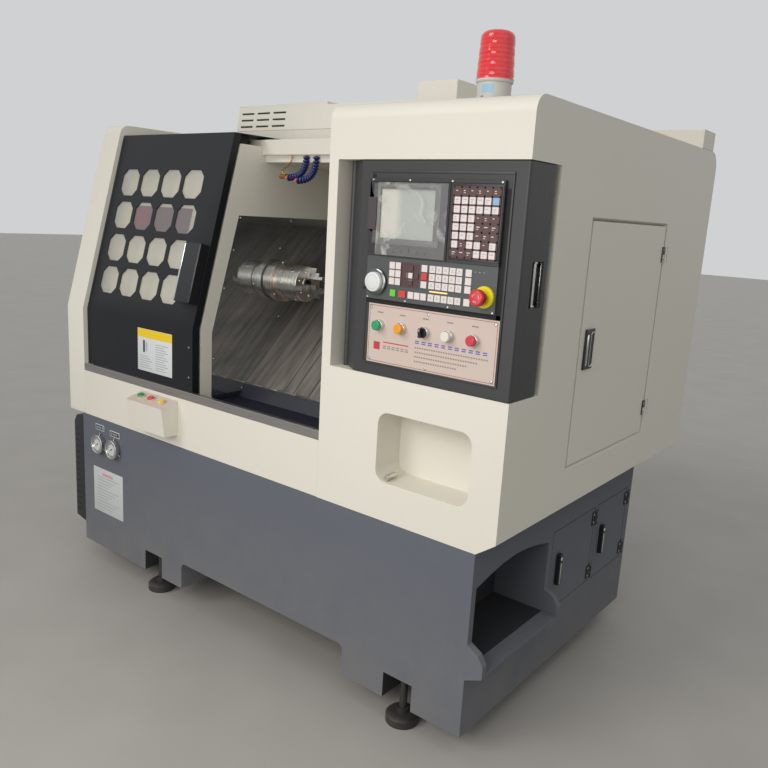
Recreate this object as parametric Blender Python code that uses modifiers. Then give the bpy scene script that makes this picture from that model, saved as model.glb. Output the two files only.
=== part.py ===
"""CNC turning lathe with a sliding windowed door, a three-jaw chuck and a swinging console.

Lengths are metres. X runs along the machine, Y from the front plane to the back, Z up
from the floor. The pieces are laid out from the cabinet's centre line, its front plane
and the floor, and one root empty then moves all of them to the middle of the footprint.
"""
import bpy
import bmesh
from math import atan, cos, pi, radians, sin, tan
from mathutils import Matrix, Vector

# General clearances.
SEAT_GAP = 0.0003
SHEET = 0.003
EDGE = 0.001

# Cabinet.
CABINET_LENGTH = 2.090
CABINET_DEPTH = 1.455
CABINET_BOTTOM_Z = 0.635
ROOF_Z = 1.812
CHEEK_WIDTH = 0.1175
RIGHT_CABINET_WIDTH = 0.6462
HEADSTOCK_LENGTH = 0.6762
FLOOR_TOP_Z = 0.800
FOLD_Z = 1.076
FRONT_SLOPE = 0.261
REAR_ROUNDING = 0.065
FRONT_ROUNDING = 0.045
SKIRT_CHAMFER_WIDTH = 0.059
SKIRT_CHAMFER_HEIGHT = 0.043
HOUSING_SETBACK = 0.060
HOUSING_TOP_Z = 1.735
HEADER_Y = 0.337
HEADER_THICKNESS = 0.018
HEADER_BOTTOM_Z = 1.705
HEADER_TOP_Z = 1.759
CHANNEL_FLOOR_Z = 1.715
ROOF_FRONT_Y = 0.493
CEILING_Z = 1.680
REAR_WALL = 0.305
WORK_RIGHT_INSET = 0.355
WORK_FRONT_WALL = 0.185
ARC_STEPS = 6

# Sill, tray, track and sliding door.
RAIL_THICKNESS = 0.0185
RAIL_BOTTOM_Z = 0.8204
RAIL_TOP_Z = 0.8509
TRAY_REAR_Z = 0.848
TRAY_STEP = 0.035
TRACK_WIDTH = 0.030
TRACK_HEIGHT = 0.030
TRACK_Y = 0.420
DOOR_CLEARANCE = 0.0008
DOOR_THICKNESS = 0.030
DOOR_OVERLAP = 0.0043
DOOR_BOTTOM_Z = 0.830
DOOR_TOP_Z = 1.7705
DOOR_FLANGE = 0.004
DOOR_FLANGE_BACK = 0.035
HANGER_LENGTH = 0.060
HANGER_WIDTH = 0.050
HANGER_INSET = 0.040
BRACKET_LENGTH = 0.030
BRACKET_FRONT_Y = 0.240
BRACKET_BACK_Y = 0.300
BRACKET_DROP = 0.026
WINDOW_ROWS = 4
WINDOW_COLUMNS = 4
WINDOW_PITCH = 0.132
WINDOW_WIDTH = 0.111
WINDOW_HEIGHT = 0.107
WINDOW_CHAMFER = 0.025
WINDOW_FIRST_X = 0.1107
WINDOW_FIRST_RISE = 0.130
PANE_MARGIN = 0.018
WINDOW_SHEET = 0.004
PANE_CLEARANCE = 0.0005
HANDLE_WIDTH = 0.107
HANDLE_HEIGHT = 0.206
HANDLE_DEPTH = 0.045
HANDLE_EDGE = 0.004
HANDLE_RISE = 0.087
HANDLE_WALL = 0.009
HANDLE_POCKET = 0.065

# Roof pieces.
HOOD_LEFT = 0.4683
HOOD_RIGHT_GAP = 0.0385
HOOD_DEPTH = 0.507
HOOD_HEIGHT = 0.0895
HOOD_LEAN = 0.014
LID_LENGTH = 0.4847
LID_HEIGHT = 0.0105
SLOT_HEIGHT = 0.006
SLOT_PITCH = 0.0252
SLOT_FIRST_Z = 0.014
SLOT_DEPTH = 0.010
SLOT_WIDTH = 0.070
SLOT_SPACING = 0.0905
SLOT_INSET = 0.0207
TOP_BOX_WIDTH = 0.155
TOP_BOX_DEPTH = 0.250
TOP_BOX_HEIGHT = 0.132
TOP_BOX_Y = 0.450
REAR_BOX_DEPTH = 0.1285
REAR_BOX_HEIGHT = 0.066
BEACON_X = 0.235
BEACON_Y = 0.189
BEACON_BASE_RADIUS = 0.046
BEACON_BASE_HEIGHT = 0.0657
BEACON_RADIUS = 0.051
BEACON_HEIGHT = 0.122
BEACON_RIBS = 4
BEACON_TAPER = 0.005
BEACON_LAND = 0.004
BEACON_FLANGE = 0.004
TURN_STEPS = 28
SMALL_STEPS = 16

# Base casting.
BASE_LEFT_INSET = 0.099
BASE_RIGHT_INSET = 0.059
BASE_DEPTH = 1.155
BASE_BOTTOM_Z = 0.073
ARCH_LEFT = 0.6625
ARCH_RIGHT = 0.4496
ARCH_HEIGHT = 0.1036
ARCH_ROUNDING = 0.020
FOOT_POCKET_WIDTH = 0.108
FOOT_POCKET_HEIGHT = 0.084
FOOT_POCKET_DEPTH = 0.100
FOOT_RADIUS = 0.052
FOOT_THICKNESS = 0.033
FOOT_BEVEL = 0.010
FOOT_BOLT_RADIUS = 0.012
FOOT_NUT_RADIUS = 0.020
FOOT_NUT_HEIGHT = 0.014
FOOT_LEFT_X = 0.486
FOOT_RIGHT_X = 0.228
FOOT_Y = 0.039
CHEEK_PLATE = 0.023
BAY_BACK_Y = 0.459
BAY_DEPTH = 0.180
BAY_FLOOR_Z = 0.290
BAY_SPRING_Z = 0.526
BAY_RISE = 0.033
LIP_REACH = 0.0538
LIP_THICKNESS = 0.010
LIP_TOP_Z = 0.3657
LIP_BOTTOM_Z = 0.2563
LIP_SHOULDER_DROP = 0.019
LIP_NOSE_DROP = 0.047
LIP_NOSE_ROUNDING = 0.020
LIP_HEEL = 0.024
BASE_DOOR_BOTTOM_Z = 0.270
BASE_DOOR_TOP_Z = 0.548
BASE_DOOR_1_Y = 0.493
BASE_DOOR_1_WIDTH = 0.322
BASE_DOOR_SPACING = 0.026
BASE_DOOR_REAR_INSET = 0.044
BASE_DOOR_THICKNESS = 0.012
DOOR_GAP = 0.003
COMPARTMENT_RIM = 0.018
COMPARTMENT_DEPTH = 0.140
KNUCKLE_RADIUS = 0.0045
KNUCKLE_HEIGHT = 0.026
LEAF = 0.003
LEAF_WIDTH = 0.018
BASE_LATCH_LENGTH = 0.107
BASE_LATCH_WIDTH = 0.020
BASE_LATCH_HEIGHT = 0.016
BASE_LATCH_INSET = 0.045
BASE_LATCH_Z = 0.4105
BASE_HINGE_INSET = 0.040

# Left end and front fittings of the base.
VENT_DEPTH = 0.450
VENT_FRONT_Y = 0.013
VENT_BOTTOM_Z = 0.135
VENT_TOP_Z = 0.609
VENT_END_GAP = 0.002
VENT_LOUVRES = 20
VENT_LOUVRE_DEPTH = 0.012
VENT_CHAMFER = 0.030
GAUGE_RADIUS = 0.040
GAUGE_DEPTH = 0.022
GAUGE_DISH = 0.006
GAUGE_RIM = 0.005
GAUGE_X = 0.228
GAUGE_PITCH = 0.102
GAUGE_Z = 0.529

# Pendant box under the sill.
PENDANT_X = 0.4048
PENDANT_WIDTH = 0.2166
PENDANT_BOTTOM_Z = 0.679
PENDANT_BACK_Z = 0.809
PENDANT_DROP = 0.022
PENDANT_REACH = 0.072
PENDANT_FOOT_REACH = 0.057
PENDANT_BUTTON_PITCH = 0.062
PENDANT_COLLAR_HEIGHT = 0.006
PENDANT_BUTTON_HEIGHT = 0.008

# Work area.
SPLASH_THICKNESS = 0.0015
SPLASH_FRONT_Y = 0.109
SPLASH_BOTTOM_Z = 0.820
SPLASH_TOP_Z = 1.482
SPLASH_FOLD_Z = 1.059
SPLASH_TOP_Y = 0.2285
SPLASH_BACK_Y = 0.703
BED_FRONT_Y = 0.274
BED_FRONT_Z = 0.852
BED_ANGLE = radians(44.0)
BED_SLOPE_LENGTH = 0.850
COVER_RIB = 0.012
COVER_RIB_HEIGHT = 0.0005
COVER_RIB_X = 0.0913
COVER_STEP = 0.0012
MID_COVER_X = 0.1783
MID_COVER_LENGTH = 0.173
SADDLE_COVER_X = 0.2773
SADDLE_RIGHT_GAP = 0.070
SADDLE_LENGTH = 0.220
SADDLE_HEIGHT = 0.060
SADDLE_START = 0.100
SADDLE_END = 0.800
SLIDE_START = 0.400
SLIDE_END = 0.700
SLIDE_LENGTH = 0.160
SLIDE_HEIGHT = 0.240
TURRET_RISE = 0.150
TURRET_RADIUS = 0.100
TURRET_LENGTH = 0.070
TURRET_HUB = 0.035
TURRET_CAP = 0.010
TURRET_STATIONS = 8
TOOL_SLOT_WIDTH = 0.020
TOOL_SLOT_DEPTH = 0.022

# Spindle and chuck.
SPINDLE_Y = 0.4324
SPINDLE_Z = 1.241
NOSE_RADIUS = 0.0725
NOSE_LENGTH = 0.0157
CHUCK_BORE = 0.018
CHUCK_RADIUS = 0.0675
CHUCK_FLANGE_RADIUS = 0.080
CHUCK_FLANGE = 0.027
CHUCK_BAND = 0.044
CHUCK_LENGTH = 0.148
CHUCK_BAND_GROOVE = 0.0015
JAW_COUNT = 3
JAW_FIRST_ANGLE = radians(71.0)
JAW_WIDTH = 0.0155
JAW_CLEARANCE = 0.0004
JAW_SEAT = 0.016
JAW_INNER = 0.020
JAW_OUTER = 0.064
JAW_STEP_1 = 0.030
JAW_STEP_2 = 0.050
JAW_STEP_3 = 0.071
JAW_STEP_1_RADIUS = 0.046
JAW_STEP_2_RADIUS = 0.032

# Coolant hoses.
HOSE_RADIUS = 0.0068
HOSE_Y = 0.348
HOSE_1_X = 0.2173
HOSE_2_X = 0.2658
HOSE_POINTS = 26
FITTING_RADIUS = 0.009
FITTING_LENGTH = 0.030
COPPER_RADIUS = 0.0024
COPPER_X = 0.150
COPPER_SWAY = 0.030
COPPER_REACH = 0.040
COPPER_DROP = 0.075
COPPER_SETBACK = 0.006
HOSE_SETBACK = 0.020
HOSE_1_SWAY = 0.010
HOSE_1_DROP = 0.080
HOSE_1_REACH = 0.078
HOSE_2_SWAY = 0.012
HOSE_2_DROP = 0.090
HOSE_2_REACH = 0.080

# Console bay, console and its panels.
BAY_EDGE = 0.0346
CONSOLE_BAY_BOTTOM_Z = 1.063
CONSOLE_BAY_TOP_Z = 1.659
CONSOLE_BAY_DEPTH = 0.163
CONSOLE_GAP = 0.003
CONSOLE_WIDTH = 0.608
CONSOLE_FACET_X = 0.0877
CONSOLE_FACET_Y = 0.061
CONSOLE_DEPTH = 0.158
CONSOLE_ROUNDING = 0.030
HINGE_INSET_X = 0.0208
HINGE_INSET_Y = 0.0452
HINGE_PIN_RADIUS = 0.008
PANEL_WIDTH = 0.4358
PANEL_INSET = 0.045
PANEL_BOTTOM_Z = 1.102
PANEL_TOP_Z = 1.6236
PANEL_THICKNESS = 0.002
CNC_WIDTH = 0.4211
CNC_INSET = 0.0014
CNC_BOTTOM_Z = 1.402
CNC_TOP_Z = 1.609
CNC_THICKNESS = 0.010
SCREEN_X = 0.0384
SCREEN_WIDTH = 0.180
SCREEN_BOTTOM_Z = 1.451
SCREEN_TOP_Z = 1.581
SCREEN_RECESS = 0.004
SOFT_KEYS = 6
SOFT_KEY_X = 0.0500
SOFT_KEY_Z = 1.4130
SOFT_KEY_PITCH = 0.0260
SOFT_KEY_WIDTH = 0.0170
SOFT_KEY_HEIGHT = 0.0110
CARD_COVER_WIDTH = 0.0290
CARD_COVER_BOTTOM_Z = 1.472
CARD_COVER_TOP_Z = 1.558
CARD_COVER_REACH = 0.006
MDI_X = 0.2794
MDI_COLUMNS = 6
MDI_ROWS = 8
MDI_PITCH_X = 0.0224
MDI_PITCH_Z = 0.0218
MDI_BOTTOM_Z = 1.4180
KEY_GAP = 0.003
KEY_HEIGHT = 0.0035
MACHINE_PANEL_BOTTOM_Z = 1.2815
MACHINE_PANEL_WIDTH = 0.420
MACHINE_PANEL_THICKNESS = 0.007
KEY_PITCH_X = 0.0211
KEY_PITCH_Z = 0.0213
LOWER_KEYS_Z = 0.0137
UPPER_KEYS_Z = 0.0460
MODE_KEYS_X = 0.0820
STEP_KEYS_X = 0.1900
FUNCTION_KEYS_X = 0.2157
COOLANT_KEYS_X = 0.3280
RESET_KEY_X = 0.0880
CYCLE_KEY_X = 0.1180
FEED_KEYS_X = 0.1492
ARROW_KEYS_X = 0.1472
ARROW_KEYS_Z = 0.0680
SMALL_KEY = 0.80
WIDE_KEY = 1.25
ARROW_SPREAD = 0.90
HANDWHEEL_X = 0.0375
HANDWHEEL_Z = 1.330
HANDWHEEL_RADIUS = 0.037
HANDWHEEL_THICKNESS = 0.030
HANDWHEEL_DISH = 0.003
HANDWHEEL_FOOT = 0.006
HANDWHEEL_KNOB_RADIUS = 0.006
HANDWHEEL_KNOB_HEIGHT = 0.014
HANDWHEEL_KNOB_OFFSET = 0.026
HANDWHEEL_KNOB_ANGLE = radians(215.0)
STOP_X = 0.3885
STOP_Z = 1.3235
STOP_RING_RADIUS = 0.028
STOP_RING_HEIGHT = 0.010
STOP_NECK_RADIUS = 0.012
STOP_HEAD_RADIUS = 0.0215
STOP_REACH = 0.046
STOP_HEAD_HEIGHT = 0.018
STOP_TRAVEL = 0.004
STOP_ROUNDING = 0.007
SWITCH_PLATE_WIDTH = 0.4235
SWITCH_PLATE_X = 0.0128
SWITCH_PLATE_TOP_Z = 1.2685
SWITCH_PLATE_THICKNESS = 0.0025
SWITCH_Z = 1.210
SWITCH_X = 0.0426
SWITCH_PITCH = 0.0779
SWITCH_COUNT = 5
COLLAR_RADIUS = 0.0160
COLLAR_HEIGHT = 0.013
BUTTON_RADIUS = 0.0140
BUTTON_HEIGHT = 0.021
SELECTOR_FLANGE = 0.004
SELECTOR_LEVER_HEIGHT = 0.012
BUTTON_TRAVEL = 0.003
SELECTOR_LEVER = 0.007
PULL_FRONT_Y = 0.054
PULL_BACK_Y = 0.114
PULL_BOTTOM_Z = 1.301
PULL_TOP_Z = 1.418
PULL_DEPTH = 0.028
PULL_BAR = 0.005

# Niche in the right cabinet.
NICHE_RIGHT = 0.0972
NICHE_WIDTH = 0.3194
NICHE_BOTTOM_Z = 0.7526
NICHE_TOP_Z = 0.9614
NICHE_ROUNDING = 0.037
NICHE_DEPTH = 0.114

# Side door of the right cabinet.
SIDE_RECESS_FRONT_Y = 0.382
SIDE_RECESS_BACK_Y = 1.000
SIDE_RECESS_BOTTOM_Z = 0.800
SIDE_RECESS_TOP_Z = 1.539
SIDE_DOOR_FRONT_GAP = 0.012
SIDE_DOOR_BACK_GAP = 0.012
SIDE_DOOR_END_GAP = 0.010
SIDE_DOOR_THICKNESS = 0.018
SIDE_ROOM_DEPTH = 0.130
SIDE_ROOM_RIM = 0.024
SIDE_HINGE_UPPER_Z = 1.435
SIDE_HINGE_LOWER_Z = 0.8975
SIDE_LATCH_Y = 0.448
SIDE_LATCH_Z = 1.161
SIDE_LATCH_WIDTH = 0.059
SIDE_LATCH_HEIGHT = 0.120
SIDE_LATCH_THICKNESS = 0.006

# Planes that the sizes above set.
LEFT_X = -CABINET_LENGTH / 2
RIGHT_X = CABINET_LENGTH / 2
DOOR_LEFT_X = LEFT_X + CHEEK_WIDTH
WALL_X = DOOR_LEFT_X + HEADSTOCK_LENGTH
CABINET_X = RIGHT_X - RIGHT_CABINET_WIDTH
WORK_RIGHT_X = RIGHT_X - WORK_RIGHT_INSET
WORK_BACK_Y = CABINET_DEPTH - REAR_WALL
BASE_LEFT_X = LEFT_X + BASE_LEFT_INSET
BASE_RIGHT_X = RIGHT_X - BASE_RIGHT_INSET
BASE_TOP_Z = CABINET_BOTTOM_Z - SEAT_GAP
BASE_DOOR_2_Y = BASE_DOOR_1_Y + BASE_DOOR_1_WIDTH + BASE_DOOR_SPACING
BASE_DOOR_2_WIDTH = BASE_DEPTH - BASE_DOOR_REAR_INSET - BASE_DOOR_2_Y
CONSOLE_BAY_X = CABINET_X + BAY_EDGE
CONSOLE_X = RIGHT_X - CONSOLE_WIDTH
HINGE_X = CONSOLE_X + HINGE_INSET_X
PANEL_X = RIGHT_X - PANEL_INSET - PANEL_WIDTH
CNC_X = PANEL_X + CNC_INSET
BED_START_X = WALL_X + SPLASH_THICKNESS + 2 * SEAT_GAP
SADDLE_LEFT_X = WORK_RIGHT_X - SADDLE_RIGHT_GAP - SADDLE_LENGTH
DOOR_RIGHT_X = WALL_X + DOOR_OVERLAP
DOOR_FRONT_Y = RAIL_THICKNESS + DOOR_CLEARANCE
KNUCKLE_OFFSET = KNUCKLE_RADIUS + SEAT_GAP
HINGE_PROUD = KNUCKLE_OFFSET + KNUCKLE_RADIUS
CENTRE_X = -HINGE_PROUD / 2
FRONT_Y = -(CABINET_DEPTH - PENDANT_REACH) / 2

for old in list(bpy.data.objects):
    bpy.data.objects.remove(old, do_unlink=True)


def group(name):
    made = bpy.data.collections.new(name)
    bpy.context.scene.collection.children.link(made)
    return made


LATHE = group("cnc_turning_lathe")
CUTTERS = group("cutters")


def material(name, colour, roughness, metallic=0.0):
    made = bpy.data.materials.new(name)
    made.use_nodes = True
    shader = made.node_tree.nodes["Principled BSDF"]
    shader.inputs["Base Color"].default_value = (*colour, 1.0)
    shader.inputs["Roughness"].default_value = roughness
    shader.inputs["Metallic"].default_value = metallic
    return made


def link(name, mesh, look):
    """A part when it has a material, and otherwise a hidden cutter."""
    made = bpy.data.objects.new(name, mesh)
    if look is None:
        CUTTERS.objects.link(made)
        made.hide_render = True
        made.display_type = "WIRE"
    else:
        LATHE.objects.link(made)
        mesh.materials.append(look)
    return made


def box(name, low, high, look=None):
    low, high = Vector(low), Vector(high)
    mesh = bpy.data.meshes.new(name)
    bm = bmesh.new()
    bmesh.ops.create_cube(bm, size=1.0)
    bmesh.ops.scale(bm, vec=high - low, verts=bm.verts)
    bmesh.ops.translate(bm, vec=(low + high) / 2, verts=bm.verts)
    bm.to_mesh(mesh)
    bm.free()
    return link(name, mesh, look)


def boxes(name, limits, look=None):
    """Several separate boxes in one mesh, used as one tool."""
    mesh = bpy.data.meshes.new(name)
    bm = bmesh.new()
    for low, high in limits:
        low, high = Vector(low), Vector(high)
        made = bmesh.ops.create_cube(bm, size=1.0)["verts"]
        bmesh.ops.scale(bm, vec=high - low, verts=made)
        bmesh.ops.translate(bm, vec=(low + high) / 2, verts=made)
    bm.to_mesh(mesh)
    bm.free()
    return link(name, mesh, look)


def rounded(corners, steps=ARC_STEPS):
    """Points of an outline whose corners (a, b, radius) are rounded."""
    points = []
    for index, corner in enumerate(corners):
        here = Vector(corner[:2])
        radius = corner[2] if len(corner) > 2 else 0.0
        if radius <= 0.0:
            points.append(tuple(here))
            continue
        back = (Vector(corners[index - 1][:2]) - here).normalized()
        ahead = (Vector(corners[(index + 1) % len(corners)][:2]) - here).normalized()
        half = back.angle(ahead) / 2
        centre = here + (back + ahead).normalized() * radius / sin(half)
        start = here + back * radius / tan(half) - centre
        sweep = start.angle_signed(here + ahead * radius / tan(half) - centre)
        for step in range(steps + 1):
            turn = Matrix.Rotation(-sweep * step / steps, 2)
            points.append(tuple(centre + turn @ start))
    return points


def frame(origin, along_a, along_b):
    """Placement whose local X and Y run along two directions."""
    a, b = Vector(along_a).normalized(), Vector(along_b).normalized()
    turn = Matrix((a, b, a.cross(b))).transposed().to_4x4()
    return Matrix.Translation(origin) @ turn


def plate(name, outlines, placement, low, high, look=None):
    """A flat outline, with any holes after it, extruded from low to high."""
    curve = bpy.data.curves.new(name, "CURVE")
    curve.dimensions = "2D"
    curve.fill_mode = "BOTH"
    curve.extrude = (high - low) / 2
    for outline in outlines:
        spline = curve.splines.new("POLY")
        spline.points.add(len(outline) - 1)
        for point, (a, b) in zip(spline.points, outline):
            point.co = (a, b, 0.0, 1.0)
        spline.use_cyclic_u = True
    source = bpy.data.objects.new(name, curve)
    CUTTERS.objects.link(source)
    evaluated = source.evaluated_get(bpy.context.evaluated_depsgraph_get())
    mesh = bpy.data.meshes.new_from_object(evaluated)
    bpy.data.objects.remove(source, do_unlink=True)
    mesh.transform(placement @ Matrix.Translation((0.0, 0.0, (low + high) / 2)))
    weld(mesh)
    return link(name, mesh, look)


def weld(mesh):
    bm = bmesh.new()
    bm.from_mesh(mesh)
    bmesh.ops.remove_doubles(bm, verts=bm.verts, dist=0.000005)
    bmesh.ops.recalc_face_normals(bm, faces=bm.faces)
    bm.to_mesh(mesh)
    bm.free()


def along_x(name, outline, low, high, look=None):
    """An outline in Y and Z, extruded along X."""
    return plate(name, [outline], frame((0, 0, 0), (0, 1, 0), (0, 0, 1)), low, high, look)


def along_y(name, outline, low, high, look=None):
    """An outline in X and Z, extruded along Y."""
    return plate(name, [outline], frame((0, 0, 0), (1, 0, 0), (0, 0, 1)), -high, -low, look)


def along_z(name, outline, low, high, look=None):
    """An outline in X and Y, extruded along Z."""
    return plate(name, [outline], frame((0, 0, 0), (1, 0, 0), (0, 1, 0)), low, high, look)


def turned(name, profile, origin, axis, look=None, closed=False, steps=TURN_STEPS):
    """A profile of (radius, height), top to bottom down its outer side, turned about axis."""
    mesh = bpy.data.meshes.new(name)
    bm = bmesh.new()
    points = [bm.verts.new((radius, 0.0, height)) for radius, height in profile]
    for first, second in zip(points, points[1:]):
        bm.edges.new((first, second))
    if closed:
        bm.edges.new((points[-1], points[0]))
    bm.to_mesh(mesh)
    bm.free()
    made = link(name, mesh, look)
    turning = made.modifiers.new("Turned", "SCREW")
    turning.axis = "Z"
    turning.angle = 2 * pi
    turning.steps = steps
    turning.render_steps = steps
    turning.use_merge_vertices = True
    turning.merge_threshold = 0.00002
    turning.use_smooth_shade = True
    made.location = origin
    made.rotation_euler = Vector((0, 0, 1)).rotation_difference(Vector(axis)).to_euler()
    return made


def rod(name, start, end, radius, look=None, sides=SMALL_STEPS):
    start, end = Vector(start), Vector(end)
    mesh = bpy.data.meshes.new(name)
    bm = bmesh.new()
    bmesh.ops.create_cone(bm, cap_ends=True, segments=sides, radius1=radius,
                          radius2=radius, depth=(end - start).length)
    turn = Vector((0, 0, 1)).rotation_difference(end - start).to_matrix().to_4x4()
    bmesh.ops.transform(bm, matrix=Matrix.Translation((start + end) / 2) @ turn, verts=bm.verts)
    bm.to_mesh(mesh)
    bm.free()
    mesh.shade_smooth()
    mesh.set_sharp_from_angle(angle=radians(35))
    return link(name, mesh, look)


def tube(name, points, radius, look):
    """A bent tube through the given points, with filled ends."""
    curve = bpy.data.curves.new(name, "CURVE")
    curve.dimensions = "3D"
    curve.bevel_depth = radius
    curve.bevel_resolution = 2
    curve.use_fill_caps = True
    spline = curve.splines.new("POLY")
    spline.points.add(len(points) - 1)
    for point, place in zip(spline.points, points):
        point.co = (*place, 1.0)
    made = bpy.data.objects.new(name, curve)
    LATHE.objects.link(made)
    curve.materials.append(look)
    return made


def combine(target, tool, operation):
    step = target.modifiers.new(tool.name, "BOOLEAN")
    step.operation = operation
    step.solver = "EXACT"
    step.object = tool
    return target


def cut(target, *tools):
    for tool in tools:
        combine(target, tool, "DIFFERENCE")


def join(target, *tools):
    for tool in tools:
        combine(target, tool, "UNION")


def pivot(name, place):
    made = bpy.data.objects.new(name, None)
    LATHE.objects.link(made)
    made.empty_display_size = 0.05
    made.location = place
    return made


def carry(axis, *pieces):
    """Parents pieces to a pivot and leaves them where they are."""
    for piece in pieces:
        piece.parent = axis
        piece.location -= axis.location


CREAM = material("cream_paint", (0.72, 0.69, 0.60), 0.42)
SLATE = material("slate_paint", (0.12, 0.13, 0.15), 0.50)
NAVY = material("door_paint", (0.030, 0.036, 0.055), 0.35)
PANE = material("window_pane", (0.70, 0.72, 0.66), 0.12)
BLACK = material("black_plastic", (0.020, 0.020, 0.022), 0.45)
MIRROR = material("polished_black_sheet", (0.03, 0.03, 0.03), 0.08)
CHARCOAL = material("charcoal_panel", (0.055, 0.055, 0.060), 0.50)
COVER = material("way_cover_steel", (0.070, 0.062, 0.056), 0.45, 0.3)
TRAY = material("tray_paint", (0.025, 0.030, 0.050), 0.50)
ALUMINIUM = material("brushed_aluminium", (0.62, 0.62, 0.60), 0.35, 1.0)
STEEL = material("turned_steel", (0.55, 0.55, 0.54), 0.25, 1.0)
DARK_STEEL = material("dark_steel", (0.09, 0.09, 0.09), 0.35, 0.8)
CHROME = material("chrome", (0.70, 0.70, 0.70), 0.12, 1.0)
PINK = material("switch_plate", (0.76, 0.60, 0.54), 0.50)
RED = material("signal_red", (0.62, 0.02, 0.02), 0.35)
GREEN = material("signal_green", (0.02, 0.38, 0.09), 0.35)
ORANGE = material("signal_orange", (0.80, 0.22, 0.02), 0.35)
YELLOW = material("signal_yellow", (0.80, 0.55, 0.02), 0.40)
WHITE = material("signal_white", (0.80, 0.80, 0.78), 0.40)
BLUE = material("hose_blue", (0.03, 0.16, 0.42), 0.45)
BRASS = material("brass", (0.60, 0.42, 0.16), 0.30, 1.0)
GREY = material("light_grey", (0.50, 0.50, 0.48), 0.50)


def slanted(front_y, z):
    """Y of a sheet that stands upright to the fold and leans back above it."""
    return front_y + FRONT_SLOPE * max(0.0, z - FOLD_Z)


def build_left_cheek():
    outline = rounded([
        (0.0, CABINET_BOTTOM_Z),
        (0.0, FOLD_Z),
        (slanted(0.0, ROOF_Z), ROOF_Z, FRONT_ROUNDING),
        (CABINET_DEPTH, ROOF_Z, REAR_ROUNDING),
        (CABINET_DEPTH, CABINET_BOTTOM_Z),
    ])
    along_x("left_cheek", outline, LEFT_X, DOOR_LEFT_X - SEAT_GAP, CREAM)


def top_profile():
    """Header lip, open track channel and roof, from the header to the rear edge."""
    return [
        (HEADER_Y, HEADER_TOP_Z),
        (HEADER_Y + HEADER_THICKNESS, HEADER_TOP_Z),
        (HEADER_Y + HEADER_THICKNESS, CHANNEL_FLOOR_Z),
        (ROOF_FRONT_Y, CHANNEL_FLOOR_Z),
        (ROOF_FRONT_Y, ROOF_Z),
        (CABINET_DEPTH, ROOF_Z, REAR_ROUNDING),
        (CABINET_DEPTH, FLOOR_TOP_Z + SEAT_GAP),
    ]


def build_headstock_housing():
    outline = rounded([
        (HOUSING_SETBACK, FLOOR_TOP_Z + SEAT_GAP),
        (HOUSING_SETBACK, FOLD_Z),
        (slanted(HOUSING_SETBACK, HOUSING_TOP_Z), HOUSING_TOP_Z),
        (HEADER_Y, HOUSING_TOP_Z),
        *top_profile(),
    ])
    along_x("headstock_housing", outline, DOOR_LEFT_X, WALL_X, CREAM)


def build_centre_housing():
    outline = rounded([
        (HEADER_Y, HEADER_BOTTOM_Z),
        *top_profile(),
        (WORK_BACK_Y, FLOOR_TOP_Z + SEAT_GAP),
        (WORK_BACK_Y, CEILING_Z),
        (HEADER_Y + HEADER_THICKNESS, CEILING_Z),
        (HEADER_Y + HEADER_THICKNESS, HEADER_BOTTOM_Z),
    ])
    along_x("centre_housing", outline, WALL_X + SEAT_GAP, CABINET_X - SEAT_GAP, CREAM)


def build_enclosure_floor():
    outline = [
        (0.0, CABINET_BOTTOM_Z),
        (0.0, RAIL_BOTTOM_Z - SEAT_GAP),
        (RAIL_THICKNESS, RAIL_BOTTOM_Z - SEAT_GAP),
        (RAIL_THICKNESS, FLOOR_TOP_Z),
        (CABINET_DEPTH, FLOOR_TOP_Z),
        (CABINET_DEPTH, CABINET_BOTTOM_Z),
    ]
    along_x("enclosure_floor", outline, DOOR_LEFT_X, CABINET_X - SEAT_GAP, CREAM)


def knuckle(name, x, y, low, high, look=None):
    return rod(name, (x, y, low), (x, y, high), KNUCKLE_RADIUS, look, 12)


def fixed_hinges(target, name, x, y, levels):
    """Knuckles and leaves that stay with the frame, above each hinge's middle."""
    for number, level in enumerate(levels, 1):
        low, high = level + SEAT_GAP, level + KNUCKLE_HEIGHT
        join(target, knuckle(f"{name}_{number}_knuckle", x + KNUCKLE_OFFSET, y, low, high))
        join(target, box(f"{name}_{number}_leaf", (x - LEAF, y + SEAT_GAP, low),
                         (x + LEAF, y + LEAF_WIDTH, high)))


def moving_hinges(target, name, x, y, levels):
    """Knuckles and leaves that swing with the door, below each hinge's middle."""
    for number, level in enumerate(levels, 1):
        low, high = level - KNUCKLE_HEIGHT, level - SEAT_GAP
        join(target, knuckle(f"{name}_{number}_knuckle", x + KNUCKLE_OFFSET, y, low, high))
        join(target, box(f"{name}_{number}_leaf", (x - LEAF, y - LEAF_WIDTH, low),
                         (x + LEAF, y - SEAT_GAP, high)))


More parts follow.
